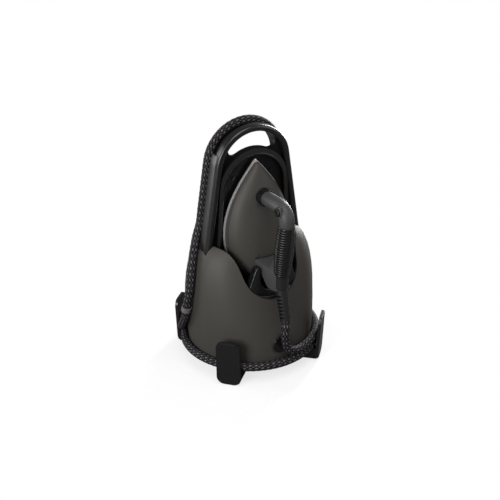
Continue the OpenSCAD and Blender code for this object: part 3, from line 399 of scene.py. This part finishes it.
def build_braid_yarn():
    material, tree, shader = start_material("braid_yarn", Roughness=0.7, Specular_IOR_Level=0.15)

    def times(a, b):
        return maths(tree, "MULTIPLY", a, b)

    def off_middle(lane):
        return maths(tree, "ABSOLUTE", maths(tree, "SUBTRACT", maths(tree, "FRACT", lane), 0.5))

    def below(value, limit):
        return maths(tree, "LESS_THAN", value, limit)

    sleeve = add_node(tree, "ShaderNodeSeparateXYZ", Vector=coordinates(tree, "UV")).outputs
    first = maths(tree, "ADD", sleeve[0], sleeve[1])
    second = maths(tree, "SUBTRACT", sleeve[0], sleeve[1])
    cell = maths(tree, "ADD", maths(tree, "FLOOR", first), maths(tree, "FLOOR", second))
    first_on_top = below(maths(tree, "ABSOLUTE", maths(tree, "MODULO", cell, 2.0)), 0.5)
    second_on_top = maths(tree, "SUBTRACT", 1.0, first_on_top)
    first_off, second_off = off_middle(first), off_middle(second)
    first_stroke = times(below(first_off, FIRST_WIDE), below(second_off, FIRST_LONG))
    second_stroke = times(below(second_off, SECOND_WIDE), below(first_off, SECOND_LONG))
    strokes = maths(tree, "ADD", times(first_stroke, first_on_top),
                    times(times(second_stroke, second_on_top), SECOND_PALE))
    place = coordinates(tree)
    fuzz = add_node(tree, "ShaderNodeTexNoise", Vector=place, Scale=900.0, Detail=2.0)
    shade = add_node(tree, "ShaderNodeTexNoise", Vector=place, Scale=160.0, Detail=1.0)
    fleck = times(times(strokes, shade.outputs[0]), FLECK_GAIN)
    tone = mixed_colour(tree, fleck, (0.0025, 0.0024, 0.0026), (0.11, 0.100, 0.112))
    tree.links.new(tone, shader.inputs["Base Color"])
    raise_relief(tree, shader, fuzz.outputs[0], 0.4, 0.2 * MM)
    return material


braid_yarn = build_braid_yarn()

# %% [markdown]
# ## Where the hose runs
#
# The hose leaves the boot under the iron, drops past the edge of the power button, winds round
# the foot one and a half times, climbs the left flank, lies in the groove of the bow and enters
# the gland on the right shoulder. The free stretches are listed points. The wound part is
# worked out: its two turns lie one above the other, and it changes from the lower to the upper
# one on the way.

# %% The hose's route, in millimetres from the station's axis
HOSE_D = 14.0
BOW_Z, BOW_LEAN, BOW_FRONT = 347.4, math.radians(8.4), 16.0
GROOVE_R, GROOVE_Y, GLAND_Z = 66.3, 19.2, 217.0
TURN_R, LOWER_Z, UPPER_Z, UPPER_SWELL = 109.8, 30.2, 45.4, 2.3
TURN_FROM, TURN_STEP, TURN_POINTS = -72, 7.25, 81
CHANGE_AT, CHANGE_HALF, CHANGE_GAP = 90, 37.0, 3.6
CROWN_STEP, CROWN_POINTS = math.radians(11), 15
RELIEF_TOP, RELIEF_LEAN, RELIEF_LEN = Vector((0, -99.4, 166)), math.radians(14.7), 56.6
RELIEF_DIR = Vector((0, -math.sin(RELIEF_LEAN), -math.cos(RELIEF_LEAN)))
RELIEF_TIP = RELIEF_TOP + RELIEF_LEN * RELIEF_DIR
STRAIGHT_BELOW_TIP = 6
DROP = [
    (-2, -118, 99), (-3, -118.5, 91), (-2.5, -117.5, 82), (-0.5, -116, 72), (3, -114, 62),
    (9, -113, 54), (18, -112, 49)]
CLIMB = [
    (-107, 42, 56), (-113.5, 25, 73), (-116.5, 11, 92), (-118, 3, 112), (-117.5, -2, 131),
    (-115.5, -5, 150), (-113, -5, 169), (-109.5, -2.5, 188), (-104, 3, 205), (-96, 11, 219),
    (-89, 17, 232)]
LEFT_LEG_Z = (252, 275, 300, 322, 342)
RIGHT_LEG_Z = (342, 310, 275, 245, 228)


def smooth_step(t):
    t = min(max(t, 0.0), 1.0)
    return t * t * (3 - 2 * t)


def change_phase(a):
    return math.radians(180 * smooth_step((a - CHANGE_AT + CHANGE_HALF) / (2 * CHANGE_HALF)))


def wound_point(a):
    first, second = change_phase(a), change_phase(a - 360)
    share = 1 - (math.cos(second) - math.cos(first)) / 2
    height = LOWER_Z + (UPPER_Z - LOWER_Z) * share
    radius = TURN_R + UPPER_SWELL * share + (HOSE_D + CHANGE_GAP) * math.sin(second)
    return Vector((radius * math.cos(math.radians(a)), radius * math.sin(math.radians(a)), height))


def leg_point(height, side):
    x = GROOVE_R / math.cos(BOW_LEAN) + (BOW_Z - height) * math.tan(BOW_LEAN)
    return Vector((side * x, GROOVE_Y, height))


def crown_point(i):
    a = math.pi - BOW_LEAN - CROWN_STEP * i
    return Vector((GROOVE_R * math.cos(a), GROOVE_Y, BOW_Z + GROOVE_R * math.sin(a)))


def hose_route():
    points = [RELIEF_TIP, RELIEF_TIP + STRAIGHT_BELOW_TIP * RELIEF_DIR]
    points += [Vector(p) for p in DROP]
    points += [wound_point(TURN_FROM + TURN_STEP * i) for i in range(TURN_POINTS)]
    points += [Vector(p) for p in CLIMB]
    points += [leg_point(z, -1) for z in LEFT_LEG_Z]
    points += [crown_point(i) for i in range(CROWN_POINTS)]
    points += [leg_point(z, 1) for z in (*RIGHT_LEG_Z, GLAND_Z)]
    return [from_axis(p) for p in points]


route = hose_route()
print("route:", len(route), "points")

# %% [markdown]
# A smooth curve through the route's points gives the centreline. It is walked at an even step,
# because the braid's pattern must not stretch where the points lie further apart.

# %% A smooth, evenly spaced centreline
RING_STEP = 1.1 * MM
SPAN_STEPS = 24


def smooth_line(points, step):
    pts = np.array([list(p) for p in points])
    pts = np.vstack([2 * pts[0] - pts[1], pts, 2 * pts[-1] - pts[-2]])
    out = []
    for a, b, c, d in zip(pts[:-3], pts[1:-2], pts[2:-1], pts[3:]):
        for t in np.linspace(0, 1, SPAN_STEPS, endpoint=False):
            out.append(0.5 * (2 * b + (c - a) * t + (2 * a - 5 * b + 4 * c - d) * t * t
                              + (3 * b - a - 3 * c + d) * t ** 3))
    out.append(pts[-2])
    out = np.array(out)
    gone = np.concatenate([[0], np.cumsum(np.linalg.norm(np.diff(out, axis=0), axis=1))])
    even = np.linspace(0, gone[-1], int(gone[-1] / step) + 1)
    return np.stack([np.interp(even, gone, out[:, k]) for k in range(3)], axis=1), gone[-1]


centreline, hose_length = smooth_line(route, RING_STEP)
print("hose:", round(hose_length, 3), "m along", len(centreline), "rings")

# %% [markdown]
# The sleeve's relief is real: each ring of the tube is pushed out or in by the braid's height at
# that spot. A frame is carried along the line without twisting, so the diamonds stay upright on
# the hose.

# %% The braided hose
SIDES = 40
BRAID_DEEP = 0.55 * MM
YARN_WIDE, YARN_ROUND, YARN_DIVE = 0.92, 0.7, 0.45


def carried_frame(line):
    ahead = np.gradient(line, axis=0)
    ahead /= np.linalg.norm(ahead, axis=1)[:, None]
    side = np.cross(ahead[0], [1.0, 0.2, 0.0])
    sides = []
    for direction in ahead:
        side = side - direction * (side @ direction)
        side /= np.linalg.norm(side)
        sides.append(side)
    sides = np.array(sides)
    return sides, np.cross(ahead, sides)


def braid_height(round_it, along):
    one, other = round_it + along, round_it - along
    one_on_top = (np.floor(one) + np.floor(other)) % 2 == 0
    one_off, other_off = one - np.floor(one) - 0.5, other - np.floor(other) - 0.5
    over = np.where(one_on_top, one_off, other_off)
    under = np.where(one_on_top, other_off, one_off)
    arch = np.cos(math.pi * over * YARN_WIDE) ** YARN_ROUND
    return arch * (1 - YARN_DIVE + YARN_DIVE * np.cos(math.pi * under))


def tube_faces(rings, sides):
    faces = []
    for i in range(rings - 1):
        for k in range(sides):
            here, after = i * sides + k, i * sides + (k + 1) % sides
            faces.append((here, after, after + sides, here + sides))
    faces.append(tuple(range(sides - 1, -1, -1)))
    faces.append(tuple((rings - 1) * sides + k for k in range(sides)))
    return faces


def lay_flat(mesh, round_it, along):
    layer = mesh.uv_layers.new(name="sleeve")
    corner = np.zeros(len(mesh.loops), np.int32)
    mesh.loops.foreach_get("vertex_index", corner)
    wound, run = round_it.reshape(-1)[corner], along.reshape(-1)[corner]
    seam = np.arange(len(corner)) // 4 % SIDES == SIDES - 1
    wound = np.where(seam & (wound < 0.5), wound + CARRIERS, wound)
    layer.data.foreach_set("uv", np.stack([wound, run], axis=1).astype(np.float32).ravel())


def build_hose():
    rings = len(centreline)
    sides, ups = carried_frame(centreline)
    angle = np.arange(SIDES) * 2 * math.pi / SIDES
    round_it = np.tile(angle / (2 * math.pi) * CARRIERS, (rings, 1))
    along = np.tile((np.arange(rings) * RING_STEP / DIAMOND)[:, None], (1, SIDES))
    radius = HOSE_D / 2 * MM - BRAID_DEEP + BRAID_DEEP * braid_height(round_it, along)
    outward = (np.cos(angle)[None, :, None] * sides[:, None, :]
               + np.sin(angle)[None, :, None] * ups[:, None, :])
    points = centreline[:, None, :] + radius[:, :, None] * outward
    mesh = bpy.data.meshes.new("braided_hose")
    mesh.from_pydata(points.reshape(-1, 3).tolist(), [], tube_faces(rings, SIDES))
    lay_flat(mesh, round_it, along)
    mesh.shade_smooth()
    return add_object("braided_hose", mesh, braid_yarn)


braided_hose = build_hose()
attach(braided_hose, "station")
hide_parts("steam_hose")
print("braided hose:", len(braided_hose.data.polygons), "faces")

# %% [markdown]
# ## Dressing a moulding
#
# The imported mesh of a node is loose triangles. A copy of it is merged, flat neighbours become one
# face again, and the sharp edges get the small radius that every mould has. Light catches on that
# radius, which is what makes a black moulding readable at all. The copy stands for the node, and
# rides with its body.

# %% Dress a node
SAME_SPOT = 0.01 * MM
FLAT_WITHIN = math.radians(0.6)
SHARP_FROM = 32


def dressed(node, material, edge):
    body = frame["nodes"][node]["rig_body"]
    work = bmesh.new()
    work.from_mesh(frame["nodes"][node].data)
    bmesh.ops.remove_doubles(work, verts=work.verts, dist=SAME_SPOT)
    bmesh.ops.dissolve_limit(work, angle_limit=FLAT_WITHIN, verts=work.verts, edges=work.edges)
    if edge:
        sharp = [e for e in work.edges
                 if len(e.link_faces) == 2 and e.calc_face_angle(0) > math.radians(SHARP_FROM)]
        bmesh.ops.bevel(work, geom=sharp, offset=edge * MM, segments=2, profile=0.5,
                        affect="EDGES", clamp_overlap=True)
    mesh = finished_mesh(work, node + "_moulding", SHARP_FROM)
    piece = add_object(node + "_moulding", mesh, material)
    weighted = piece.modifiers.new("flat_faces_stay_flat", "WEIGHTED_NORMAL")
    weighted.keep_sharp = True
    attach(piece, body)
    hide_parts(node)
    return piece


# %% [markdown]
# One row a node: its finish, the material slot that the finish belongs to, and the radius of its
# eased edges in millimetres. A radius of nought leaves a form alone that has no hard edges.

# %% The mouldings that show
SHOWN = [
    ("skirt_housing", housing_paint, "housing", 0.0),
    ("iron_body", housing_paint, "housing", 0.0),
    ("chassis_pan", black_moulding, "frame", 0.5),
    ("hook_front_left", satin_black, "frame", 1.5),
    ("hook_front_right", satin_black, "frame", 1.5),
    ("hook_rear_left", satin_black, "frame", 1.5),
    ("hook_rear_right", satin_black, "frame", 1.5),
    ("top_frame", black_moulding, "frame", 0.3),
    ("hose_channel", black_moulding, "frame", 0.3),
    ("dock_panel", panel_painted_shade, "frame", 0.8),
    # the back of the column takes the darker black, which paints the shade that falls on it
    ("column_back", painted_shade_black, "frame", 0.6),
    ("tank_seat", black_moulding, "frame", 0.3),
    ("hose_gland", black_moulding, "frame", 0.4),
    ("tank_lid", black_moulding, "frame", 0.5),
    ("tank_cap", black_moulding, "frame", 0.4),
    ("power_button", black_moulding, "frame", 0.3),
    ("steam_button", black_moulding, "frame", 0.3),
    ("side_rail_left", gloss_trim, "rail", 0.6),
    ("side_rail_right", gloss_trim, "rail", 0.6),
    ("elbow", charcoal_moulding, "charcoal", 0.0),
    ("elbow_ring", black_moulding, "charcoal", 0.3),
    ("grip_ring", bezel_paint, "charcoal", 0.2),
    ("rubber_feet", soft_rubber, "rubber", 0.3),
    ("rest_pads", soft_rubber, "rubber", 0.4),
    ("mains_inlet", soft_rubber, "rubber", 0.3),
    ("tank_seal", soft_rubber, "rubber", 0.0),
    ("hose_clip", clip_plastic, "clip", 0.3),
    ("button_bezel", bezel_paint, "bezel", 0.4),
    ("soleplate", polished_aluminium, "aluminium", 0.5),
    ("water_tank", smoky_plastic, "tank_clear", 0.0),
    ("base_screws", brushed_steel, "steel", 0.1),
    ("dock_screws", blackened_steel, "steel", 0.1),
    ("tank_outlet", white_plastic, "white_plastic", 0.2),
]
dress = {node: dressed(node, material, edge) for node, material, slot, edge in SHOWN}
print("dressed:", len(dress), "mouldings")

# %% [markdown]
# The saddle's horns are as thick as a finger and rounded all over, far beyond what an eased edge
# gives, and so is the bow. They are skinned anew with an even mesh, and that skin is relaxed
# until the edges are round.

# %% The rounded saddle and bow
def rounded(node, material, grain_mm, passes):
    piece = dressed(node, material, 0.0)
    piece.modifiers.clear()
    even = piece.modifiers.new("even_skin", "REMESH")
    even.mode = "VOXEL"
    even.voxel_size = grain_mm * MM
    even.use_smooth_shade = True
    relax = piece.modifiers.new("round_over", "SMOOTH")
    relax.factor = 0.5
    relax.iterations = passes


rounded("saddle_insert", satin_black, 0.8, 18)
rounded("handle_bow", satin_black, 1.0, 14)

# %% [markdown]
# A thin bead runs round the mouth of the recess, and draws a line of light round the iron. It is
# a tube that follows the arch, sunk so deep in the panel that the lifted soleplate slides over
# it.

# %% The bead round the recess
RECESS_R, RECESS_Z, RECESS_LEAN, RECESS_FOOT = 57.5, 309.5, math.radians(3.5), 214.0
BEAD_R, BEAD_PROUD, BEAD_SIDES = 2.0, 0.4, 16
BEAD_Y = BEAD_R - BEAD_PROUD - BOW_FRONT
FORWARD = Vector((0, -1, 0))


def bead_path():
    rise = RECESS_Z - RECESS_FOOT
    leg = [Vector((RECESS_R / math.cos(RECESS_LEAN) + rise * math.tan(RECESS_LEAN) * t, BEAD_Y,
                   RECESS_Z - rise * t)) for t in (1.0, 0.75, 0.5, 0.25)]
    arch = [Vector((RECESS_R * math.cos(a), BEAD_Y, RECESS_Z + RECESS_R * math.sin(a)))
            for a in np.linspace(-RECESS_LEAN, math.pi + RECESS_LEAN, 61).tolist()]
    return leg + arch + [Vector((-p.x, p.y, p.z)) for p in reversed(leg)]


def add_bead():
    path = bead_path()
    rings = []
    for i, spot in enumerate(path):
        ahead = (path[min(i + 1, len(path) - 1)] - path[max(i - 1, 0)]).normalized()
        out = FORWARD.cross(ahead)
        turn = [2 * math.pi * k / BEAD_SIDES for k in range(BEAD_SIDES)]
        rings.append([from_axis(spot + BEAD_R * (math.cos(a) * out + math.sin(a) * FORWARD))
                      for a in turn])
    work, _ = skin(rings)
    bead = add_object("recess_bead", finished_mesh(work, "recess_bead"), satin_black)
    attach(bead, frame["nodes"]["dock_panel"]["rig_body"])


add_bead()

# %% [markdown]
# ## Pieces turned about an axis
#
# The grip, the collar and the boot are bodies of revolution, two of them with a fine relief. One
# helper turns a radius, which may depend on the place along the axis and on the angle, into a
# closed mesh.

# %% A turned piece
TURNED_SHARP_FROM = 48


def turned(node, material, start, direction, stations, radius_at, sides=96):
    sideways = Vector((1, 0, 0))
    across = direction.cross(sideways).normalized()
    turn = [2 * math.pi * k / sides for k in range(sides)]
    rings = []
    for s in stations.tolist():
        outward = [radius_at(s, a) * (math.cos(a) * sideways + math.sin(a) * across) for a in turn]
        rings.append([from_axis(start + s * direction + out) for out in outward])
    work, _ = skin(rings)
    mesh = finished_mesh(work, node + "_turned", TURNED_SHARP_FROM)
    piece = add_object(node + "_turned", mesh, material)
    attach(piece, frame["nodes"][node]["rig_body"])
    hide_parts(node)


# %% The ribbed grip
GRIP_LEAN = math.radians(7.75)
GRIP_FROM, GRIP_TO, GRIP_R, GRIP_SWELL = 3.2, 95.0, 13.2, 2.4
GRIP_RIBS, RIB_DEEP, RIB_FULLNESS, STATIONS_PER_RIB = 21, 1.5, 0.55, 16
BEND_Y, BEND_Z, BEND_R = -94.0, 288.8, 20.0
GRIP_DIR = Vector((0, math.sin(GRIP_LEAN), -math.cos(GRIP_LEAN)))
GRIP_START = Vector((
    0, BEND_Y - BEND_R * math.cos(GRIP_LEAN), BEND_Z - BEND_R * math.sin(GRIP_LEAN)))


def grip_radius(s, angle):
    share = (s - GRIP_FROM) / (GRIP_TO - GRIP_FROM)
    rib = abs(math.sin(math.pi * GRIP_RIBS * share)) ** RIB_FULLNESS
    return GRIP_R + GRIP_SWELL * math.sin(math.pi * share) - RIB_DEEP * (1 - rib)


turned("grip", grip_rubber, GRIP_START, GRIP_DIR,
       np.linspace(GRIP_FROM, GRIP_TO, GRIP_RIBS * STATIONS_PER_RIB + 1), grip_radius)

# %% [markdown]
# Between the iron's body and the boot sits a wedge that narrows to a round collar. Its top falls
# gently towards the collar, its flanks are flat, and its underside drops steeply into the trough
# of the saddle. Its lower edges are rounded more than its upper ones.

# %% The wedge
WEDGE = [  # distance from the axis, half width, height of the top, height of the underside
    (-46, 23, 205, 194), (-58, 23, 203.3, 191.2), (-66, 21.4, 201.9, 187.6),
    (-72, 20.0, 200.8, 180.4), (-77, 18.8, 199.9, 172.4), (-81, 17.8, 199.2, 166.4),
    (-85, 16.6, 198.5, 163.0), (-89, 15.3, 197.8, 161.4), (-94, 13.7, 196.8, 160.6),
    (-99, 12.1, 195.9, 160.8), (-104, 10.5, 195, 163.4)]
TOP_CORNERS, LOW_CORNERS = (0, 1), (2, 3)
KEEL_R, RIDGE_R, WEDGE_SHARP_FROM = 2.2, 0.7, 35


def add_wedge():
    sections = []
    for y, half, top, low in WEDGE:
        corners = [(-half, top), (half, top), (half, low), (-half, low)]
        sections.append([from_axis(Vector((x, y, z))) for x, z in corners])
    work, rings = skin(sections)

    def long_edges(corners):
        return [work.edges.get((one[k], other[k]))
                for one, other in zip(rings, rings[1:]) for k in corners]

    ridges, keels = long_edges(TOP_CORNERS), long_edges(LOW_CORNERS)
    bmesh.ops.bevel(work, geom=keels, offset=KEEL_R * MM, segments=5, profile=0.5, affect="EDGES")
    ridges = [e for e in ridges if e.is_valid] + [work.edges.get((rings[1][0], rings[1][1]))]
    bmesh.ops.bevel(work, geom=[e for e in ridges if e], offset=RIDGE_R * MM, segments=3,
                    profile=0.5, affect="EDGES")
    mesh = finished_mesh(work, "rear_block_wedge", WEDGE_SHARP_FROM)
    wedge = add_object("rear_block_wedge", mesh, charcoal_moulding)
    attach(wedge, frame["nodes"]["rear_block"]["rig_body"])
    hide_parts("rear_block")


add_wedge()

# %% The collar
COLLAR_FOOT, COLLAR_R, COLLAR_ROUND, COLLAR_LEN = Vector((0, -99.4, 165.6)), 11.5, 3.0, 36


def collar_radius(s, angle):
    to_go = (COLLAR_ROUND - min(s, COLLAR_ROUND)) / COLLAR_ROUND
    return COLLAR_R - COLLAR_ROUND * (1 - math.sqrt(max(0.0, 1 - to_go ** 2)))


turned("collar", boot_plastic, COLLAR_FOOT, Vector((0, 0, 1)),
       np.concatenate([np.linspace(0, COLLAR_ROUND, 10), np.linspace(4, COLLAR_LEN, 9)]),
       collar_radius)

# %% [markdown]
# The boot bends with the hose because it is slotted: a row of short slots on either side. Each
# slot ends in a round, so the angle at which it stops depends on the place along it.

# %% The slotted boot
BOOT_FROM, BOOT_R, BOOT_TAPER, BOOT_STATIONS, BOOT_SIDES = -4, 10.1, 1.5, 203, 120
SLOT_FROM, SLOT_PITCH, SLOT_WIDE, SLOTS, SLOT_DEPTH = 12.5, 6.1, 2.5, 7, 4.6
SLOT_HALF_ANGLE, SLOT_ROUND_ANGLE = math.radians(47), math.radians(7)


def boot_radius(s, angle):
    plain = BOOT_R - BOOT_TAPER * max(s, 0) / RELIEF_LEN
    nearest = min(range(SLOTS), key=lambda i: abs(s - SLOT_FROM - SLOT_PITCH * i))
    off = (s - SLOT_FROM - SLOT_PITCH * nearest) / (SLOT_WIDE / 2)
    if abs(off) >= 1:
        return plain
    away = min(abs(angle - side) for side in (0, math.pi, 2 * math.pi))
    end = SLOT_HALF_ANGLE + SLOT_ROUND_ANGLE * math.sqrt(1 - off * off)
    return plain - SLOT_DEPTH if away < end else plain


turned("strain_relief", boot_plastic, RELIEF_TOP, RELIEF_DIR,
       np.linspace(BOOT_FROM, RELIEF_LEN, BOOT_STATIONS), boot_radius, BOOT_SIDES)
print("turned the grip, the collar and the boot")

# %% [markdown]
# ## What stays inside
#
# The boiler, pump and board never show while the housing is closed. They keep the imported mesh,
# and each gets the finish that it would have on the bench.

# %% Finishes for the inner pieces
INSIDE = {
    "boiler": brushed_steel, "boiler_stand": brushed_steel, "heating_element": brushed_steel,
    "steam_valve": brushed_steel, "pump": brushed_steel, "steam_pipe": brushed_steel,
    "boiler_jacket": felt_jacket, "safety_valve": turned_brass, "thermostat": white_plastic,
    "pump_mounts": soft_rubber, "control_board": circuit_board, "feed_tube": white_plastic,
    "steam_chamber": polished_aluminium, "iron_thermostat": white_plastic,
    "inlet_tube": white_plastic,
}
for node, material in INSIDE.items():
    frame["nodes"][node].data.materials.clear()
    frame["nodes"][node].data.materials.append(material)

# %% [markdown]
# ## The studio
#
# The floor is pale where it is seen and dim where it only lights the object, so that black
# plastic doesn't mirror a bright floor. It fades out round the foot, which leaves a soft shadow
# and no edge.

# %% The floor
FLOOR_SIZE = 6.0
FLOOR_LIT, FLOOR_SEEN, FLOOR_GLOW = 0.14, 0.95, 0.72
FADE_FROM, FADE_TO = 0.16, 0.30


def build_floor_white():
    material, tree, shader = start_material("studio_floor", Roughness=0.9, Specular_IOR_Level=0.0)
    seen = tree.nodes.new("ShaderNodeLightPath").outputs["Is Camera Ray"]
    tone = add_node(tree, "ShaderNodeMapRange", Value=seen, To_Min=FLOOR_LIT, To_Max=FLOOR_SEEN)
    tree.links.new(tone.outputs[0], shader.inputs["Base Color"])
    away = tree.nodes.new("ShaderNodeVectorMath")
    away.operation = "DISTANCE"
    tree.links.new(coordinates(tree), away.inputs[0])
    away.inputs[1].default_value = (0.0, AXIS_Y, 0.0)
    fade = add_node(tree, "ShaderNodeMapRange", Value=away.outputs["Value"], From_Min=FADE_FROM,
                    From_Max=FADE_TO)
    fade.interpolation_type = "SMOOTHSTEP"
    lamp_white = add_node(tree, "ShaderNodeEmission", Color=(1, 1, 1, 1), Strength=1.0)
    clear = tree.nodes.new("ShaderNodeBsdfTransparent")
    pale = add_node(tree, "ShaderNodeMixShader", Fac=maths(tree, "MULTIPLY", seen, FLOOR_GLOW))
    tree.links.new(shader.outputs[0], pale.inputs[1])
    tree.links.new(lamp_white.outputs[0], pale.inputs[2])
    gone = maths(tree, "MULTIPLY", fade.outputs[0], seen)
    blend = add_node(tree, "ShaderNodeMixShader", Fac=gone)
    tree.links.new(pale.outputs[0], blend.inputs[1])
    tree.links.new(clear.outputs[0], blend.inputs[2])
    tree.links.new(blend.outputs[0], tree.nodes["Material Output"].inputs["Surface"])
    return material


def add_floor():
    work = bmesh.new()
    bmesh.ops.create_grid(work, x_segments=1, y_segments=1, size=FLOOR_SIZE)
    mesh = finished_mesh(work, "studio_floor")
    floor = add_object("studio_floor", mesh, build_floor_white())


add_floor()

# %% [markdown]
# A large soft light stands at the left, a strip behind the right side draws the thin bright line
# down the housing's edge, and three weaker lights fill in. Black plastic is lit by what it
# reflects, so the lights are large. The world is white to the eye and dim as a lamp.

# %% World and lights
WORLD_SEEN, WORLD_LIT = 1.0, 0.17
LIGHTS = [  # name, place, the height on the axis that it looks at, width and height, power
    ("left_softbox", (-2.1, -1.0, 0.85), 0.15, (1.0, 1.3), 46),
    ("left_rim", (-1.1, 0.9, 0.4), 0.25, (0.5, 1.2), 10),
    ("right_strip", (1.5, 0.9, 0.6), 0.2, (0.3, 1.4), 44),
    ("right_fill", (1.7, -1.3, 0.9), 0.15, (1.2, 1.2), 9),
    ("overhead", (-0.3, -0.9, 2.2), 0.2, (1.6, 1.6), 28),
]


def light_world():
    world = bpy.data.worlds.new("studio_world")
    bpy.context.scene.world = world
    world.use_nodes = True
    tree = world.node_tree
    background = tree.nodes["Background"]
    background.inputs["Color"].default_value = (1, 1, 1, 1)
    seen = tree.nodes.new("ShaderNodeLightPath").outputs["Is Camera Ray"]
    strength = add_node(tree, "ShaderNodeMapRange", Value=seen, To_Min=WORLD_LIT,
                        To_Max=WORLD_SEEN)
    tree.links.new(strength.outputs[0], background.inputs["Strength"])


def add_softbox(name, place, target_z, size, power):
    data = bpy.data.lights.new(name, "AREA")
    data.shape = "RECTANGLE"
    data.size, data.size_y = size
    data.energy = power
    light = bpy.data.objects.new(name, data)
    bpy.context.scene.collection.objects.link(light)
    light.location = place
    to_target = Vector((0, 0, target_z)) - Vector(place)
    light.rotation_euler = to_target.to_track_quat("-Z", "Y").to_euler()


light_world()
for light_row in LIGHTS:
    add_softbox(*light_row)
bpy.context.scene.view_settings.view_transform = "Standard"
